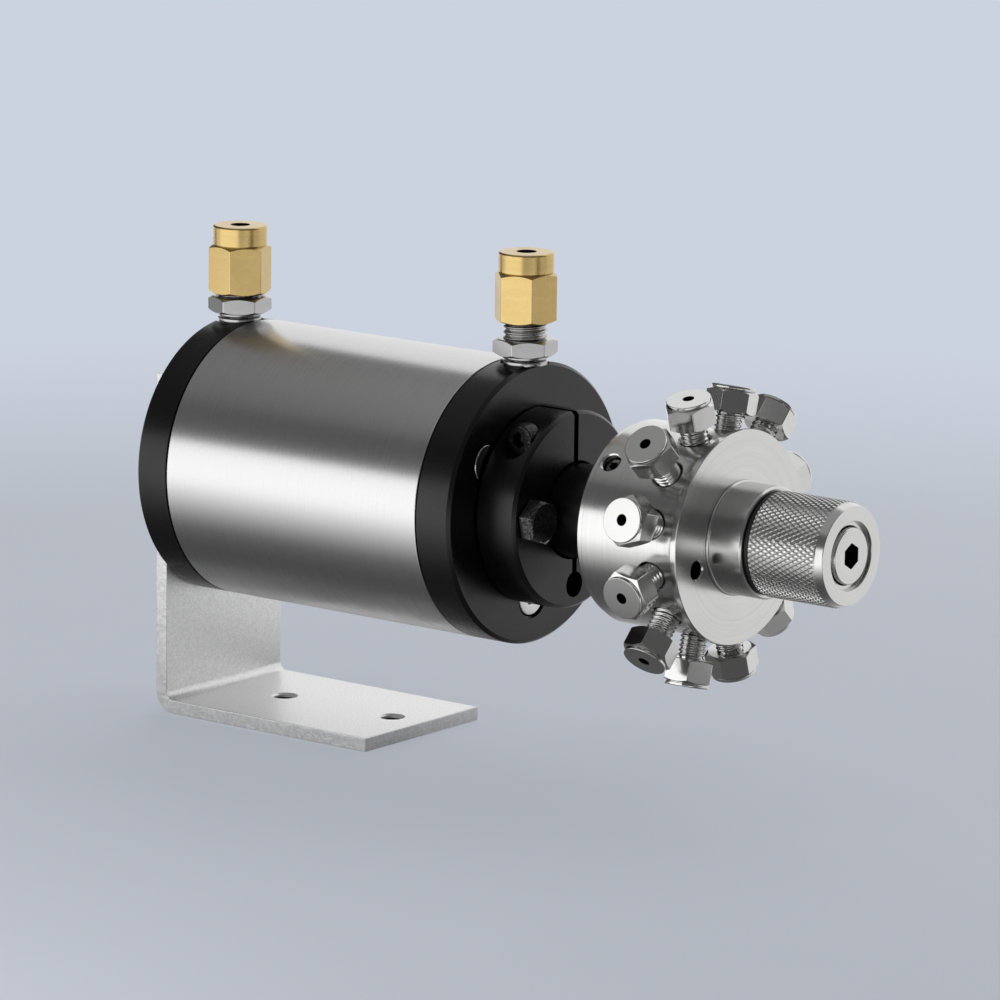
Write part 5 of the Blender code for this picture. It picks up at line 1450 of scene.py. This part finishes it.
# %% Air fittings
AIR_FLATS = 10.0
AIR_FOOT = AXIS_HEIGHT + AIR_SEAT_HEIGHT
AIR_TUBE_RADIUS = 1.65
WASHER_FOOT, WASHER_TOP = 0.2, 1.0  # heights over the cap's milled seat, as are the next five
AIR_COLLAR_FOOT, AIR_COLLAR_TOP = 1.2, 2.4
AIR_HEX_FOOT, AIR_HEX_TOP = 1.8, 4.8
AIR_STUB_FOOT, AIR_STUB_TOP = -5.0, 1.6
AIR_CORE_FOOT = 4.6
AIR_THREAD_FOOT = 4.2
WASHER_RADIUS = 3.95
AIR_STUB_RADIUS = 2.4
AIR_CORE_RADIUS = 3.35
AIR_THREAD_BORE = 3.2
AIR_THREAD_ROOT = 3.5
AIR_THREAD_RADIUS = 3.9
AIR_PITCH = 1.0
AIR_TURNS = {"rear": (-22.0, -8.9), "front": (-16.7, -41.7)}  # degrees, of the body and of its nut


def make_air_fitting(end, turn):
    foot = Vector((middle(f"{end}_air_washer").x, 0.0, AIR_FOOT))
    washer = turned([
        (WASHER_FOOT, AIR_POCKET_RADIUS), (WASHER_FOOT, WASHER_RADIUS, 0.1), (WASHER_TOP, WASHER_RADIUS, 0.2),
        (WASHER_TOP, AIR_POCKET_RADIUS),
    ], 72)
    settle(f"{end}_seal_washer", f"{end}_air_washer", washer, nickel_plated_brass, foot, Z_AXIS)
    top = corners(f"{end}_air_fitting")[1].z - AIR_FOOT
    collar = turned([
        (AIR_COLLAR_FOOT, 0.0), (AIR_COLLAR_FOOT, AIR_THREAD_RADIUS, 0.2),
        (AIR_COLLAR_TOP, AIR_THREAD_RADIUS, 0.0), (AIR_COLLAR_TOP, 0.0),
    ], 72)
    body = carve(hexagon(AIR_HEX_FOOT, AIR_HEX_TOP, AIR_FLATS), [collar], "UNION")
    body = carve(body, [drill(-REACH, AIR_HEX_TOP + REACH, AIR_TUBE_RADIUS, 48)])
    stub = turned([
        (AIR_STUB_FOOT, AIR_TUBE_RADIUS), (AIR_STUB_FOOT, AIR_STUB_RADIUS), (AIR_STUB_TOP, AIR_STUB_RADIUS),
        (AIR_STUB_TOP, AIR_TUBE_RADIUS),
    ], 48)
    core = turned([
        (AIR_CORE_FOOT, AIR_TUBE_RADIUS), (AIR_CORE_FOOT, AIR_CORE_RADIUS), (top, AIR_CORE_RADIUS, 0.3),
        (top, AIR_TUBE_RADIUS),
    ], 64)
    thread = helix(
        AIR_THREAD_FOOT, top - AIR_PITCH, AIR_THREAD_BORE, AIR_THREAD_ROOT, AIR_THREAD_RADIUS, AIR_PITCH, 64,
    )
    shape = joined([body, stub, core, thread])
    settle(f"{end}_fitting", f"{end}_air_fitting", shape, nickel_plated_brass, foot, Z_AXIS, turn)


# %% Brass air nuts
AIR_NUT_HEX = 8.8
AIR_NUT_RIM_RADIUS = 4.875
AIR_NUT_BORE = 4.2
AIR_NUT_MOUTH = 0.15
AIR_NUT_STEP = 0.1  # how far the round rim starts inside its own edge
FERRULE_FOOT, FERRULE_TOP = 2.3, 3.9  # the cone over the ferrule, from the thread's end
FERRULE_RADIUS = 2.6


def make_air_nut(end, turn):
    foot = Vector((middle(f"{end}_air_washer").x, 0.0, AIR_FOOT))
    thread_end = corners(f"{end}_air_fitting")[1].z - AIR_FOOT
    low, high = corners(f"{end}_air_nut")
    start, finish = low.z - AIR_FOOT, high.z - AIR_FOOT
    rim = start + AIR_NUT_HEX
    cap = turned([
        (rim - REACH, 0.0), (rim - REACH, AIR_NUT_RIM_RADIUS - AIR_NUT_STEP, 0.0),
        (rim, AIR_NUT_RIM_RADIUS - AIR_NUT_STEP, 0.0), (rim + AIR_NUT_MOUTH, AIR_NUT_RIM_RADIUS, 0.05),
        (finish, AIR_NUT_RIM_RADIUS, 0.35), (finish, 0.0),
    ])
    nut = carve(hexagon(start, rim, AIR_FLATS), [cap], "UNION")
    bore = turned([
        (start - REACH, 0.0), (start - REACH, AIR_NUT_BORE + REACH), (start + MOUTH, AIR_NUT_BORE),
        (thread_end + FERRULE_FOOT, AIR_NUT_BORE), (thread_end + FERRULE_TOP, FERRULE_RADIUS),
        (thread_end + FERRULE_TOP, AIR_TUBE_RADIUS), (finish - AIR_NUT_MOUTH, AIR_TUBE_RADIUS),
        (finish + REACH, AIR_TUBE_RADIUS + AIR_NUT_MOUTH + REACH), (finish + REACH, 0.0),
    ], 64, 0.0)
    settle(f"{end}_nut", f"{end}_air_nut", carve(nut, [paint_shade_inside(bore)]), satin_brass, foot, Z_AXIS, turn)


for cap_end, (body_turn, nut_turn) in AIR_TURNS.items():
    make_air_fitting(cap_end, math.radians(body_turn))
    make_air_nut(cap_end, math.radians(nut_turn))

# %% [markdown]
# What is left of the frame works inside: piston, cam shaft, bushes, seals, rotor and spring. Those parts
# keep their own shapes and only get their finishes, each for the material slot that its node names.

# %% Finishes of the inner parts
INNER_METALS = {  # name, colour, roughness, lines per mm and their depth
    "turned_stainless": ("turned_stainless_inside", STEEL, 0.22, 7.0, 0.004),
    "plain_aluminium": ("plain_aluminium", (0.72, 0.73, 0.74), 0.32, 4.0, 0.008),
    "bush_bronze": ("bush_bronze", (0.52, 0.37, 0.20), 0.38, 5.0, 0.006),
    "spring_steel": ("spring_steel", (0.44, 0.44, 0.45), 0.28, 8.0, 0.002),
    "satin_brass": ("satin_brass_inside", BRASS, 0.26, 6.0, 0.005),
    "blackened_steel": ("blackened_steel_inside", grey(0.10), 0.40, 3.0, 0.006),
}


def make_rotor_polymer():
    material, tree, shader, place = start_material("rotor_polymer", own_place=False)
    grain = use_group(tree, GRAIN, place, Grains_per_mm=2.0)["Grain"]
    feed(tree, shader, {
        "Base Color": blend_node(tree, grain, (0.14, 0.12, 0.10), (0.20, 0.18, 0.15)),
        "Roughness": spread_node(tree, grain, 0.38, 0.52),
    })
    return material


def dress_inner_parts():
    finishes = {slot: turned_metal(*look, own_place=False) for slot, look in INNER_METALS.items()}
    finishes["black_rubber"] = make_black_rubber("black_rubber_inside", own_place=False)
    finishes["rotor_polymer"] = make_rotor_polymer()
    slots = {entry["node"]: entry["material_slot"] for entry in frame["record"]["subparts"]}
    for name, node in frame["nodes"].items():
        if node.hide_render:
            continue
        finish = finishes[slots[name]]
        node.data.materials.clear()
        node.data.materials.append(finish)
        print(f"{name}: {finish.name}")


dress_inner_parts()

# %% [markdown]
# Last, the number of new pieces is printed.

# %% Count of pieces
print("pieces:", len(pieces))
